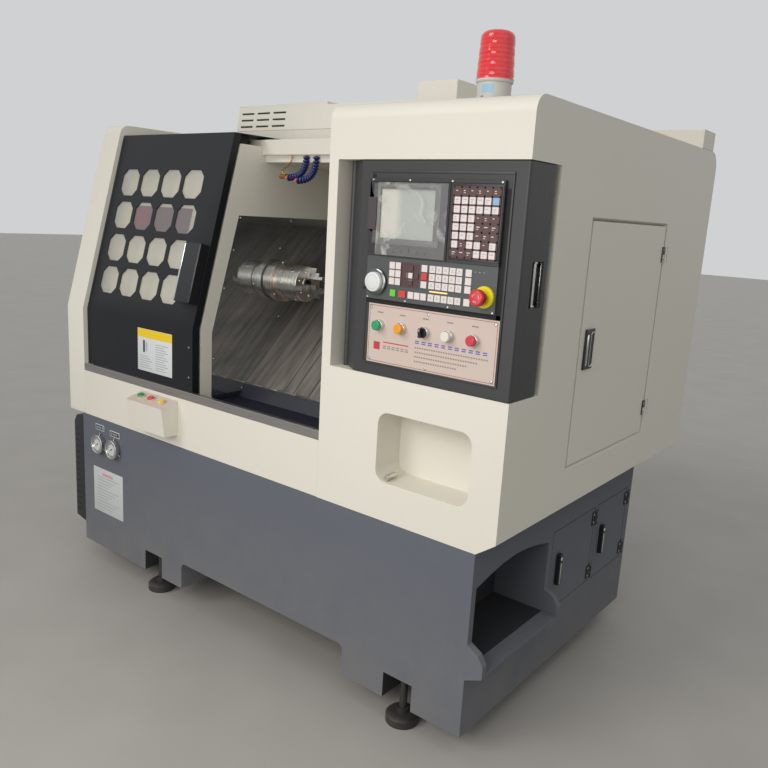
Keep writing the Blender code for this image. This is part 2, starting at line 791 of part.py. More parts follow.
def build_right_cabinet():
    outline = rounded([
        (0.0, CABINET_BOTTOM_Z),
        (0.0, ROOF_Z, FRONT_ROUNDING),
        (CABINET_DEPTH, ROOF_Z, REAR_ROUNDING),
        (CABINET_DEPTH, CABINET_BOTTOM_Z),
    ])
    body = along_x("right_cabinet", outline, CABINET_X, RIGHT_X, CREAM)
    past = 0.02
    skirt = along_y("skirt_chamfer", [
        (RIGHT_X - SKIRT_CHAMFER_WIDTH, CABINET_BOTTOM_Z),
        (RIGHT_X + past, CABINET_BOTTOM_Z + SKIRT_CHAMFER_HEIGHT * (1 + past / SKIRT_CHAMFER_WIDTH)),
        (RIGHT_X + past, CABINET_BOTTOM_Z - past),
        (RIGHT_X - SKIRT_CHAMFER_WIDTH, CABINET_BOTTOM_Z - past),
    ], -past, CABINET_DEPTH + past)
    work = box("work_area", (CABINET_X - past, WORK_FRONT_WALL, FLOOR_TOP_Z),
               (WORK_RIGHT_X, WORK_BACK_Y, CEILING_Z))
    bay = box("console_bay", (CONSOLE_BAY_X, -past, CONSOLE_BAY_BOTTOM_Z),
              (RIGHT_X + past, CONSOLE_BAY_DEPTH, CONSOLE_BAY_TOP_Z))
    niche_right = RIGHT_X - NICHE_RIGHT
    niche = along_y("niche", rounded([
        (niche_right - NICHE_WIDTH, NICHE_BOTTOM_Z, NICHE_ROUNDING),
        (niche_right, NICHE_BOTTOM_Z, NICHE_ROUNDING),
        (niche_right, NICHE_TOP_Z, NICHE_ROUNDING),
        (niche_right - NICHE_WIDTH, NICHE_TOP_Z, NICHE_ROUNDING),
    ]), -past, NICHE_DEPTH)
    recess = box("side_recess",
                 (RIGHT_X - SIDE_DOOR_THICKNESS - SEAT_GAP, SIDE_RECESS_FRONT_Y,
                  SIDE_RECESS_BOTTOM_Z),
                 (RIGHT_X + past, SIDE_RECESS_BACK_Y, SIDE_RECESS_TOP_Z))
    room = box("side_room",
               (RIGHT_X - SIDE_ROOM_DEPTH, SIDE_RECESS_FRONT_Y + SIDE_ROOM_RIM,
                SIDE_RECESS_BOTTOM_Z + SIDE_ROOM_RIM),
               (RIGHT_X, SIDE_RECESS_BACK_Y - SIDE_ROOM_RIM,
                SIDE_RECESS_TOP_Z - SIDE_ROOM_RIM))
    cut(body, skirt, work, bay, niche, recess, room)
    fixed_hinges(body, "side_hinge", RIGHT_X, SIDE_RECESS_BACK_Y,
                 (SIDE_HINGE_UPPER_Z, SIDE_HINGE_LOWER_Z))


def build_roof_pieces():
    left = LEFT_X + HOOD_LEFT
    right = CABINET_X - HOOD_RIGHT_GAP
    low, top = ROOF_Z + SEAT_GAP, ROOF_Z + HOOD_HEIGHT
    lean = HOOD_LEAN / HOOD_HEIGHT
    back_y = ROOF_FRONT_Y + HOOD_DEPTH
    hood = along_x("hood_box", [
        (ROOF_FRONT_Y, low),
        (ROOF_FRONT_Y + HOOD_LEAN, top),
        (back_y, top),
        (back_y, low),
    ], left, right, CREAM)
    lid_front = ROOF_FRONT_Y + HOOD_LEAN
    join(hood, box("hood_lid", (left, lid_front, top - LID_HEIGHT / 2),
                   (left + LID_LENGTH, back_y, top + LID_HEIGHT)))
    slots = []
    for row in range(3):
        level = low + SLOT_FIRST_Z + row * SLOT_PITCH
        face = ROOF_FRONT_Y + lean * (level - low)
        for column in range(3):
            start = left + SLOT_INSET + column * SLOT_SPACING
            slots.append(((start, face - SLOT_DEPTH, level),
                          (start + SLOT_WIDTH, face + SLOT_DEPTH, level + SLOT_HEIGHT)))
    cut(hood, boxes("hood_slots", slots))
    box("top_box", (right + SEAT_GAP, TOP_BOX_Y, low),
        (right + SEAT_GAP + TOP_BOX_WIDTH, TOP_BOX_Y + TOP_BOX_DEPTH, ROOF_Z + TOP_BOX_HEIGHT), CREAM)
    rear_box_back = CABINET_DEPTH - REAR_ROUNDING
    box("rear_box", (CABINET_X, rear_box_back - REAR_BOX_DEPTH, low),
        (RIGHT_X, rear_box_back, ROOF_Z + REAR_BOX_HEIGHT), CREAM)


def build_beacon():
    place = (RIGHT_X - BEACON_X, BEACON_Y, ROOF_Z + SEAT_GAP)
    turned("beacon_base", [
        (0.0, BEACON_BASE_HEIGHT),
        (BEACON_BASE_RADIUS, BEACON_BASE_HEIGHT),
        (BEACON_BASE_RADIUS, BEACON_FLANGE + 2 * EDGE),
        (BEACON_BASE_RADIUS + BEACON_FLANGE, BEACON_FLANGE),
        (BEACON_BASE_RADIUS + BEACON_FLANGE, 0.0),
        (0.0, 0.0),
    ], place, (0, 0, 1), GREY)
    profile = [(0.0, BEACON_HEIGHT)]
    dome = BEACON_RADIUS * 0.35
    for step in range(1, ARC_STEPS + 1):
        angle = pi / 2 * (1 - step / ARC_STEPS)
        profile.append((BEACON_RADIUS - dome - BEACON_TAPER + dome * cos(angle),
                        BEACON_HEIGHT - dome + dome * sin(angle)))
    wall = BEACON_HEIGHT - dome
    for rib in range(BEACON_RIBS):
        level = wall * (BEACON_RIBS - rib - 0.5) / BEACON_RIBS
        radius = BEACON_RADIUS - BEACON_TAPER * (level / wall)
        profile.append((radius, level + BEACON_LAND))
        profile.append((radius, level - BEACON_LAND))
        profile.append((radius - EDGE, level - BEACON_LAND * 1.5))
    profile.append((BEACON_RADIUS, 0.0))
    profile.append((0.0, 0.0))
    turned("beacon_dome", profile,
           (place[0], place[1], place[2] + BEACON_BASE_HEIGHT + SEAT_GAP), (0, 0, 1), RED)


def build_sill():
    box("sill_rail", (DOOR_LEFT_X, 0.0, RAIL_BOTTOM_Z),
        (CABINET_X - SEAT_GAP, RAIL_THICKNESS, RAIL_TOP_Z), ALUMINIUM)
    floor = FLOOR_TOP_Z + SEAT_GAP
    back = BED_FRONT_Y - SEAT_GAP
    front = HOUSING_SETBACK
    step = back - TRAY_STEP
    along_x("chip_tray", [
        (front, floor),
        (back, floor),
        (back, TRAY_REAR_Z),
        (back - SHEET, TRAY_REAR_Z),
        (step, floor + SHEET),
        (front, floor + SHEET),
    ], BED_START_X, CABINET_X - 2 * SEAT_GAP, TRAY)
    low = CHANNEL_FLOOR_Z + SEAT_GAP
    box("door_track", (DOOR_LEFT_X, TRACK_Y - TRACK_WIDTH / 2, low),
        (CABINET_X - SEAT_GAP, TRACK_Y + TRACK_WIDTH / 2, low + TRACK_HEIGHT), ALUMINIUM)


def build_base():
    arch_left = BASE_LEFT_X + ARCH_LEFT
    arch_right = BASE_RIGHT_X - ARCH_RIGHT
    arch_top = BASE_BOTTOM_Z + ARCH_HEIGHT
    outline = rounded([
        (BASE_LEFT_X, BASE_BOTTOM_Z),
        (arch_left, BASE_BOTTOM_Z),
        (arch_left, arch_top, ARCH_ROUNDING),
        (arch_right, arch_top, ARCH_ROUNDING),
        (arch_right, BASE_BOTTOM_Z),
        (BASE_RIGHT_X, BASE_BOTTOM_Z),
        (BASE_RIGHT_X, BASE_TOP_Z),
        (BASE_LEFT_X, BASE_TOP_Z),
    ])
    base = along_y("base_frame", outline, 0.0, BASE_DEPTH, SLATE)
    lip = [
        (BASE_RIGHT_X - BAY_DEPTH / 2, LIP_TOP_Z),
        (BASE_RIGHT_X, LIP_TOP_Z),
        (BASE_RIGHT_X + LIP_REACH * 0.65, LIP_TOP_Z - LIP_SHOULDER_DROP),
        (BASE_RIGHT_X + LIP_REACH, LIP_TOP_Z - LIP_NOSE_DROP, LIP_NOSE_ROUNDING),
        (BASE_RIGHT_X + LIP_REACH, LIP_BOTTOM_Z + LIP_HEEL, 4 * EDGE),
        (BASE_RIGHT_X, LIP_BOTTOM_Z),
        (BASE_RIGHT_X - BAY_DEPTH / 2, LIP_BOTTOM_Z),
    ]
    past = 0.02
    crown = []
    width = BAY_BACK_Y - CHEEK_PLATE
    for step in range(ARC_STEPS + 1):
        share = step / ARC_STEPS
        crown.append((CHEEK_PLATE + width * share, BAY_SPRING_Z + BAY_RISE * sin(pi * share)))
    mouth = along_x("front_bay", [
        (BAY_BACK_Y, BAY_FLOOR_Z),
        (CHEEK_PLATE, BAY_FLOOR_Z),
        *crown,
    ], BASE_RIGHT_X - BAY_DEPTH, BASE_RIGHT_X + LIP_REACH + past)
    cut(base, mouth)
    rim = CHEEK_PLATE - SEAT_GAP
    join(base,
         along_y("front_lip", rounded(lip), SEAT_GAP, rim),
         along_y("back_lip", rounded(lip), BAY_BACK_Y + SEAT_GAP, BAY_BACK_Y + rim),
         box("bay_lip", (BASE_RIGHT_X - BAY_DEPTH / 3, CHEEK_PLATE / 2,
                         BAY_FLOOR_Z - SEAT_GAP - LIP_THICKNESS),
             (BASE_RIGHT_X + LIP_REACH - SHEET, BAY_BACK_Y + CHEEK_PLATE / 2,
              BAY_FLOOR_Z - SEAT_GAP)))
    pockets = []
    half = FOOT_POCKET_WIDTH / 2
    for x in (BASE_LEFT_X + FOOT_LEFT_X, BASE_RIGHT_X - FOOT_RIGHT_X):
        for low, high in ((-past, FOOT_POCKET_DEPTH), (BASE_DEPTH - FOOT_POCKET_DEPTH, BASE_DEPTH + past)):
            pockets.append(((x - half, low, BASE_BOTTOM_Z - past),
                            (x + half, high, BASE_BOTTOM_Z + FOOT_POCKET_HEIGHT)))
    cut(base, boxes("foot_pockets", pockets))
    rooms = []
    for y, width in ((BASE_DOOR_1_Y, BASE_DOOR_1_WIDTH), (BASE_DOOR_2_Y, BASE_DOOR_2_WIDTH)):
        rooms.append(((BASE_RIGHT_X - BASE_DOOR_THICKNESS - SEAT_GAP, y - DOOR_GAP,
                       BASE_DOOR_BOTTOM_Z - DOOR_GAP),
                      (BASE_RIGHT_X + past, y + width + DOOR_GAP, BASE_DOOR_TOP_Z + DOOR_GAP)))
    cut(base, boxes("door_recesses", rooms))
    rooms = []
    for y, width in ((BASE_DOOR_1_Y, BASE_DOOR_1_WIDTH), (BASE_DOOR_2_Y, BASE_DOOR_2_WIDTH)):
        rooms.append(((BASE_RIGHT_X - COMPARTMENT_DEPTH, y + COMPARTMENT_RIM,
                       BASE_DOOR_BOTTOM_Z + COMPARTMENT_RIM),
                      (BASE_RIGHT_X, y + width - COMPARTMENT_RIM,
                       BASE_DOOR_TOP_Z - COMPARTMENT_RIM)))
    cut(base, boxes("compartments", rooms))
    for number, (y, width) in enumerate(((BASE_DOOR_1_Y, BASE_DOOR_1_WIDTH),
                                         (BASE_DOOR_2_Y, BASE_DOOR_2_WIDTH)), 1):
        fixed_hinges(base, f"base_hinge_{number}", BASE_RIGHT_X, y + width + DOOR_GAP,
                     base_hinge_levels())


def base_hinge_levels():
    return BASE_DOOR_TOP_Z - BASE_HINGE_INSET, BASE_DOOR_BOTTOM_Z + BASE_HINGE_INSET


def build_feet():
    places = [
        (BASE_LEFT_X + FOOT_LEFT_X, FOOT_Y),
        (BASE_RIGHT_X - FOOT_RIGHT_X, FOOT_Y),
        (BASE_LEFT_X + FOOT_LEFT_X, BASE_DEPTH - FOOT_Y),
        (BASE_RIGHT_X - FOOT_RIGHT_X, BASE_DEPTH - FOOT_Y),
    ]
    top = BASE_BOTTOM_Z + FOOT_POCKET_HEIGHT - SEAT_GAP
    nut_top = FOOT_THICKNESS + FOOT_NUT_HEIGHT
    for number, (x, y) in enumerate(places, 1):
        turned(f"foot_{number}", [
            (0.0, top),
            (FOOT_BOLT_RADIUS, top),
            (FOOT_BOLT_RADIUS, nut_top),
            (FOOT_NUT_RADIUS, nut_top),
            (FOOT_NUT_RADIUS, FOOT_THICKNESS),
            (FOOT_RADIUS - FOOT_BEVEL, FOOT_THICKNESS - EDGE),
            (FOOT_RADIUS, FOOT_THICKNESS - FOOT_BEVEL),
            (FOOT_RADIUS, 0.0),
            (0.0, 0.0),
        ], (x, y, 0.0), (0, 0, 1), DARK_STEEL)


def build_vent_guard():
    back = VENT_FRONT_Y + VENT_DEPTH
    pitch = (VENT_TOP_Z - VENT_BOTTOM_Z) / VENT_LOUVRES
    outline = [(back, VENT_BOTTOM_Z)]
    for louvre in range(VENT_LOUVRES):
        low = VENT_BOTTOM_Z + louvre * pitch
        outline.append((VENT_FRONT_Y, low))
        outline.append((VENT_FRONT_Y, low + pitch * 0.25))
        outline.append((VENT_FRONT_Y + VENT_LOUVRE_DEPTH, low + pitch * 0.95))
    outline.append((VENT_FRONT_Y, VENT_TOP_Z))
    outline.append((back, VENT_TOP_Z))
    left = LEFT_X + VENT_END_GAP
    guard = along_x("vent_guard", outline, left, BASE_LEFT_X - SEAT_GAP, BLACK)
    past = 0.02
    cut(guard, along_y("vent_chamfer", [
        (left - past, VENT_TOP_Z - VENT_CHAMFER - past),
        (left + VENT_CHAMFER + past, VENT_TOP_Z + past),
        (left - past, VENT_TOP_Z + past),
    ], VENT_FRONT_Y - past, back + past))


def build_gauges():
    for number in range(2):
        x = LEFT_X + GAUGE_X + number * GAUGE_PITCH
        turned(f"gauge_{number + 1}", [
            (0.0, GAUGE_DEPTH - GAUGE_DISH),
            (GAUGE_RADIUS - GAUGE_RIM, GAUGE_DEPTH - GAUGE_DISH),
            (GAUGE_RADIUS - GAUGE_RIM * 0.8, GAUGE_DEPTH),
            (GAUGE_RADIUS - GAUGE_RIM * 0.3, GAUGE_DEPTH),
            (GAUGE_RADIUS, GAUGE_DEPTH - 3 * EDGE),
            (GAUGE_RADIUS, GAUGE_RIM),
            (GAUGE_RADIUS - 4 * EDGE, 0.0),
            (0.0, 0.0),
        ], (x, -SEAT_GAP, GAUGE_Z), (0, -1, 0), CHROME)


def button_profile(reach):
    """A push button whose back stays one travel clear of its plate."""
    base = BUTTON_TRAVEL + 2 * SEAT_GAP
    return [
        (0.0, base + reach),
        (BUTTON_RADIUS - 2 * EDGE, base + reach),
        (BUTTON_RADIUS, base + reach - 2 * EDGE),
        (BUTTON_RADIUS, base),
        (0.0, base),
    ]


def collar(name, height, origin, axis):
    """A ring round a button, rooted in its plate."""
    bore = BUTTON_RADIUS + SEAT_GAP
    return turned(name, [
        (COLLAR_RADIUS - EDGE, height),
        (COLLAR_RADIUS, height - EDGE),
        (COLLAR_RADIUS, -EDGE),
        (bore, -EDGE),
        (bore, height),
    ], origin, axis, closed=True, steps=SMALL_STEPS)


def build_pendant():
    back = -SEAT_GAP
    left = DOOR_LEFT_X + PENDANT_X
    case = along_x("pendant_box", [
        (back, PENDANT_BOTTOM_Z),
        (back, PENDANT_BACK_Z),
        (-PENDANT_REACH, PENDANT_BACK_Z - PENDANT_DROP),
        (-PENDANT_FOOT_REACH, PENDANT_BOTTOM_Z),
    ], left, left + PENDANT_WIDTH, CREAM)
    axis = Vector((0.0, -PENDANT_DROP, PENDANT_REACH)).normalized()
    middle = Vector((left + PENDANT_WIDTH / 2, -PENDANT_REACH / 2, PENDANT_BACK_Z - PENDANT_DROP / 2))
    for number, (colour, look) in enumerate((("green", GREEN), ("red", RED), ("yellow", YELLOW))):
        place = middle + Vector(((number - 1) * PENDANT_BUTTON_PITCH, 0.0, 0.0))
        join(case, collar(f"pendant_collar_{colour}", PENDANT_COLLAR_HEIGHT, place, axis))
        turned(f"pendant_button_{colour}", button_profile(PENDANT_BUTTON_HEIGHT), place, axis,
               look, steps=SMALL_STEPS)


def slope_point(rise, lift):
    """A point in Y and Z, up the bed's slope and off its surface."""
    return (BED_FRONT_Y + rise * cos(BED_ANGLE) - lift * sin(BED_ANGLE),
            BED_FRONT_Z + rise * sin(BED_ANGLE) + lift * cos(BED_ANGLE))


def slope_slab(name, start, end, low, high, left, right, look=None):
    """A slab that lies along the bed's slope."""
    outline = [slope_point(start, low), slope_point(end, low),
               slope_point(end, high), slope_point(start, high)]
    return along_x(name, outline, left, right, look)


def build_bed():
    floor = FLOOR_TOP_Z + SEAT_GAP
    right = WORK_RIGHT_X - SEAT_GAP
    top = slope_point(BED_SLOPE_LENGTH, 0.0)
    bed = along_x("slant_bed", [
        (BED_FRONT_Y, floor),
        (BED_FRONT_Y, BED_FRONT_Z),
        top,
        (WORK_BACK_Y - SEAT_GAP, top[1]),
        (WORK_BACK_Y - SEAT_GAP, floor),
    ], BED_START_X, right, COVER)
    rib = WALL_X + COVER_RIB_X
    join(bed, slope_slab("cover_rib", 0.0, BED_SLOPE_LENGTH - SHEET, -SHEET, COVER_RIB_HEIGHT,
                         rib, rib + COVER_RIB))


def build_splash_sheet():
    face = WALL_X + SEAT_GAP
    sheet = along_x("splash_sheet", [
        (SPLASH_FRONT_Y, SPLASH_BOTTOM_Z),
        (SPLASH_FRONT_Y, SPLASH_FOLD_Z),
        (SPLASH_TOP_Y, SPLASH_TOP_Z),
        (SPLASH_BACK_Y, SPLASH_TOP_Z),
        (SPLASH_BACK_Y, SPLASH_BOTTOM_Z),
    ], face, face + SPLASH_THICKNESS, MIRROR)
    cut(sheet, rod("nose_hole", (face - SHEET, SPINDLE_Y, SPINDLE_Z),
                   (face + 2 * SHEET, SPINDLE_Y, SPINDLE_Z), NOSE_RADIUS + SEAT_GAP,
                   sides=TURN_STEPS))


def build_spindle_nose():
    turned("spindle_nose", [
        (0.0, NOSE_LENGTH),
        (NOSE_RADIUS - 3 * EDGE, NOSE_LENGTH),
        (NOSE_RADIUS, NOSE_LENGTH - 3 * EDGE),
        (NOSE_RADIUS, 0.0),
        (0.0, 0.0),
    ], (WALL_X + SEAT_GAP, SPINDLE_Y, SPINDLE_Z), (1, 0, 0), STEEL)


def build_chuck():
    back_x = WALL_X + NOSE_LENGTH + 2 * SEAT_GAP
    axis = pivot("chuck_axis", (back_x, SPINDLE_Y, SPINDLE_Z))
    band = CHUCK_FLANGE + CHUCK_BAND
    body = turned("chuck_body", [
        (CHUCK_BORE, CHUCK_LENGTH),
        (CHUCK_RADIUS - 2 * EDGE, CHUCK_LENGTH),
        (CHUCK_RADIUS, CHUCK_LENGTH - 2 * EDGE),
        (CHUCK_RADIUS, band),
        (CHUCK_RADIUS - CHUCK_BAND_GROOVE, band),
        (CHUCK_RADIUS - CHUCK_BAND_GROOVE, CHUCK_FLANGE),
        (CHUCK_FLANGE_RADIUS, CHUCK_FLANGE),
        (CHUCK_FLANGE_RADIUS, EDGE),
        (CHUCK_FLANGE_RADIUS - EDGE, 0.0),
        (CHUCK_BORE, 0.0),
    ], axis.location, (1, 0, 0), STEEL, closed=True)
    carry(axis, body)
    face_x = back_x + CHUCK_LENGTH
    half = JAW_WIDTH / 2
    for number in range(JAW_COUNT):
        angle = JAW_FIRST_ANGLE + number * 2 * pi / JAW_COUNT
        out = Vector((0.0, cos(angle), sin(angle)))
        placement = frame((face_x, SPINDLE_Y, SPINDLE_Z), out, (1, 0, 0))
        reach = CHUCK_FLANGE_RADIUS
        slot = plate(f"jaw_slot_{number + 1}", [[
            (0.0, -JAW_SEAT), (reach, -JAW_SEAT), (reach, JAW_SEAT), (0.0, JAW_SEAT),
        ]], placement, -half - JAW_CLEARANCE, half + JAW_CLEARANCE)
        cut(body, slot)
        carry(axis, slot)
        seat = -JAW_SEAT + SEAT_GAP
        jaw = plate(f"jaw_{number + 1}", [[
            (JAW_INNER, seat),
            (JAW_OUTER, seat),
            (JAW_OUTER, JAW_STEP_1),
            (JAW_STEP_1_RADIUS, JAW_STEP_1),
            (JAW_STEP_1_RADIUS, JAW_STEP_2),
            (JAW_STEP_2_RADIUS, JAW_STEP_2),
            (JAW_STEP_2_RADIUS, JAW_STEP_3),
            (JAW_INNER, JAW_STEP_3),
        ]], placement, -half, half, STEEL)
        carry(axis, jaw)


def hose_route(x, sway, drop, reach):
    """A short hose that leaves the header and curls toward the chuck."""
    points = []
    top = HEADER_BOTTOM_Z - SEAT_GAP
    for step in range(HOSE_POINTS):
        share = step / (HOSE_POINTS - 1)
        turn = share * share * (3 - 2 * share)
        points.append((x + sway * sin(pi * share * share) ** 2 - reach * turn * share,
                       HOSE_Y - HOSE_SETBACK * turn,
                       top - drop * sin(pi * 0.5 * share ** 0.8)))
    return points


def build_hoses():
    tube("coolant_hose_1", hose_route(WALL_X + HOSE_1_X, HOSE_1_SWAY, HOSE_1_DROP, HOSE_1_REACH),
         HOSE_RADIUS, BLUE)
    tube("coolant_hose_2", hose_route(WALL_X + HOSE_2_X, HOSE_2_SWAY, HOSE_2_DROP, HOSE_2_REACH),
         HOSE_RADIUS, BLUE)
    loop = []
    x = WALL_X + COPPER_X
    top = HEADER_BOTTOM_Z - SEAT_GAP
    for step in range(HOSE_POINTS):
        share = step / (HOSE_POINTS - 1)
        loop.append((x - COPPER_SWAY * sin(pi * share * share) ** 2 - COPPER_REACH * share ** 3,
                     HOSE_Y - COPPER_SETBACK, top - COPPER_DROP * share))
    end = Vector(loop[-1])
    pipe = tube("copper_pipe", loop, COPPER_RADIUS, BRASS)
    evaluated = pipe.evaluated_get(bpy.context.evaluated_depsgraph_get())
    mesh = bpy.data.meshes.new_from_object(evaluated)
    bpy.data.objects.remove(pipe, do_unlink=True)
    weld(mesh)
    fitting = link("hose_fitting", mesh, BRASS)
    half = Vector((FITTING_LENGTH / 2, 0.0, 0.0))
    join(fitting, rod("fitting_barrel", end - half, end + half, FITTING_RADIUS, sides=12))


def build_carriage():
    mid_x = WALL_X + MID_COVER_X
    gap = SEAT_GAP
    mid = COVER_RIB_HEIGHT + gap
    upper = mid + COVER_STEP + gap
    cover_axis = pivot("mid_cover_axis", (mid_x, BED_FRONT_Y, BED_FRONT_Z))
    carry(cover_axis, slope_slab("mid_way_cover", 0.0, BED_SLOPE_LENGTH, mid, mid + COVER_STEP,
                                 mid_x, mid_x + MID_COVER_LENGTH, COVER))
    left = SADDLE_LEFT_X
    axis = pivot("saddle_axis", (left, BED_FRONT_Y, BED_FRONT_Z))
    saddle = slope_slab("saddle", SADDLE_START, SADDLE_END, mid, SADDLE_HEIGHT,
                        left, left + SADDLE_LENGTH, COVER)
    cover = slope_slab("saddle_cover", 0.0, BED_SLOPE_LENGTH, upper, upper + COVER_STEP,
                       WALL_X + SADDLE_COVER_X, left + SHEET)
    join(saddle, cover)
    carry(axis, saddle, cover)
    slide_axis = pivot("slide_axis", (0.0, 0.0, 0.0))
    slide_axis.parent = axis
    slide_x = left + (SADDLE_LENGTH - SLIDE_LENGTH) / 2
    lift = SADDLE_HEIGHT + gap
    slide = slope_slab("cross_slide", SLIDE_START, SLIDE_END, lift, SLIDE_HEIGHT,
                       slide_x, slide_x + SLIDE_LENGTH, CHARCOAL)
    carry(axis, slide)
    slide.parent = slide_axis
    y, z = slope_point((SLIDE_START + SLIDE_END) / 2, TURRET_RISE + SADDLE_HEIGHT / 2)
    turret_axis = pivot("turret_axis", (slide_x - gap, y, z))
    carry(axis, turret_axis)
    turret_axis.parent = slide_axis
    turret = turned("tool_turret", [
        (0.0, TURRET_LENGTH + TURRET_CAP),
        (TURRET_HUB, TURRET_LENGTH + TURRET_CAP),
        (TURRET_HUB, TURRET_LENGTH),
        (TURRET_RADIUS, TURRET_LENGTH),
        (TURRET_RADIUS, 0.0),
        (0.0, 0.0),
    ], (0.0, 0.0, 0.0), (-1, 0, 0), STEEL, steps=TURRET_STATIONS * 3)
    turret.parent = turret_axis
    slots = []
    inner = TURRET_RADIUS - TOOL_SLOT_DEPTH
    for station in range(TURRET_STATIONS):
        angle = station * 2 * pi / TURRET_STATIONS
        out = Vector((0.0, cos(angle), sin(angle)))
        half = TOOL_SLOT_WIDTH / 2
        slots.append(plate(f"tool_slot_{station + 1}", [[
            (inner, -TURRET_LENGTH * 0.7), (TURRET_RADIUS + SHEET, -TURRET_LENGTH * 0.7),
            (TURRET_RADIUS + SHEET, -2 * TURRET_LENGTH), (inner, -2 * TURRET_LENGTH),
        ]], frame((0.0, 0.0, 0.0), out, (1, 0, 0)), -half, half))
        slots[-1].parent = turret_axis
    cut(turret, *slots)


def door_frame():
    """Placement on the door's leaning face: X along, Y up the slope, Z outward."""
    return frame((0.0, DOOR_FRONT_Y, FOLD_Z), (1, 0, 0), (0, FRONT_SLOPE, 1))


def build_sliding_door():
    axis = pivot("door_axis", (DOOR_RIGHT_X, DOOR_FRONT_Y, FOLD_Z))
    lean = atan(FRONT_SLOPE)
    back = DOOR_FRONT_Y + DOOR_THICKNESS
    back_lean = DOOR_FRONT_Y + DOOR_THICKNESS / cos(lean)
    inner_fold = FOLD_Z - (back_lean - back) / FRONT_SLOPE
    under = DOOR_TOP_Z - DOOR_FLANGE
    flange_back = TRACK_Y + DOOR_FLANGE_BACK
    door = along_x("sliding_door", [
        (DOOR_FRONT_Y, DOOR_BOTTOM_Z),
        (DOOR_FRONT_Y, FOLD_Z),
        (slanted(DOOR_FRONT_Y, DOOR_TOP_Z), DOOR_TOP_Z),
        (flange_back, DOOR_TOP_Z),
        (flange_back, under),
        (slanted(back_lean, under), under),
        (back, inner_fold),
        (back, DOOR_BOTTOM_Z),
    ], DOOR_LEFT_X + DOOR_CLEARANCE, DOOR_RIGHT_X, NAVY)
    windows = []
    half_x, half_y = WINDOW_WIDTH / 2, WINDOW_HEIGHT / 2
    for row in range(WINDOW_ROWS):
        for column in range(WINDOW_COLUMNS):
            x = DOOR_LEFT_X + WINDOW_FIRST_X + column * WINDOW_PITCH
            y = WINDOW_FIRST_RISE + row * WINDOW_PITCH
            windows.append([
                (x - half_x + WINDOW_CHAMFER, y - half_y),
                (x + half_x - WINDOW_CHAMFER, y - half_y),
                (x + half_x, y - half_y + WINDOW_CHAMFER),
                (x + half_x, y + half_y - WINDOW_CHAMFER),
                (x + half_x - WINDOW_CHAMFER, y + half_y),
                (x - half_x + WINDOW_CHAMFER, y + half_y),
                (x - half_x, y + half_y - WINDOW_CHAMFER),
                (x - half_x, y - half_y + WINDOW_CHAMFER),
            ])
    openings = plate("door_windows", windows, door_frame(), -2 * DOOR_THICKNESS, DOOR_THICKNESS)
    cut(door, openings)
    track_top = CHANNEL_FLOOR_Z + SEAT_GAP + TRACK_HEIGHT + SEAT_GAP
    for number, start in enumerate((DOOR_LEFT_X + HANGER_INSET,
                                    DOOR_RIGHT_X - HANGER_INSET - HANGER_LENGTH), 1):
        hanger = box(f"door_hanger_{number}", (start, TRACK_Y - HANGER_WIDTH / 2, track_top),
                     (start + HANGER_LENGTH, TRACK_Y + HANGER_WIDTH / 2, DOOR_TOP_Z - EDGE))
        join(door, hanger)
        carry(axis, hanger)
    bracket = box("door_bracket", (DOOR_RIGHT_X - HANGER_INSET - BRACKET_LENGTH, BRACKET_FRONT_Y,
                                   under - BRACKET_DROP),
                  (DOOR_RIGHT_X - HANGER_INSET, BRACKET_BACK_Y, DOOR_TOP_Z - EDGE))
    join(door, bracket)
    rise = WINDOW_FIRST_RISE - half_y - PANE_MARGIN
    first = DOOR_LEFT_X + WINDOW_FIRST_X - half_x - PANE_MARGIN
    span_x = (WINDOW_COLUMNS - 1) * WINDOW_PITCH + WINDOW_WIDTH + 2 * PANE_MARGIN
    span_y = (WINDOW_ROWS - 1) * WINDOW_PITCH + WINDOW_HEIGHT + 2 * PANE_MARGIN
    pane_front = -WINDOW_SHEET - SEAT_GAP
    pane = plate("door_window", [[
        (first, rise), (first + span_x, rise),
        (first + span_x, rise + span_y), (first, rise + span_y),
    ]], door_frame(), pane_front - SHEET, pane_front, PANE)
    room = plate("pane_room", [[
        (first - PANE_CLEARANCE, rise - PANE_CLEARANCE),
        (first + span_x + PANE_CLEARANCE, rise - PANE_CLEARANCE),
        (first + span_x + PANE_CLEARANCE, rise + span_y + PANE_CLEARANCE),
        (first - PANE_CLEARANCE, rise + span_y + PANE_CLEARANCE),
    ]], door_frame(), -2 * DOOR_THICKNESS, -WINDOW_SHEET)
    cut(door, room)
    right = DOOR_RIGHT_X - HANDLE_EDGE
    left = right - HANDLE_WIDTH
    pocket = left + HANDLE_POCKET
    handle_frame = frame(door_frame() @ Vector((0.0, HANDLE_RISE, 0.0)), (1, 0, 0),
                         door_frame().to_3x3() @ Vector((0.0, 0.0, 1.0)))
    outer = HANDLE_DEPTH
    handle = plate("door_handle", [[
        (left, SEAT_GAP), (right, SEAT_GAP), (right, outer), (left, outer),
        (left, outer - HANDLE_WALL), (pocket, outer - HANDLE_WALL),
        (pocket, HANDLE_WALL), (left, HANDLE_WALL),
    ]], handle_frame, -HANDLE_HEIGHT, 0.0, BLACK)
    carry(axis, door, openings, room, bracket, pane, handle)


def keys(name, limits, front_y, look=None):
    """Key caps standing on a plate, each rooted a little inside it."""
    caps = []
    for x, z, width, height in limits:
        caps.append(((x, front_y - KEY_HEIGHT, z), (x + width, front_y + EDGE, z + height)))
    return boxes(name, caps, look)


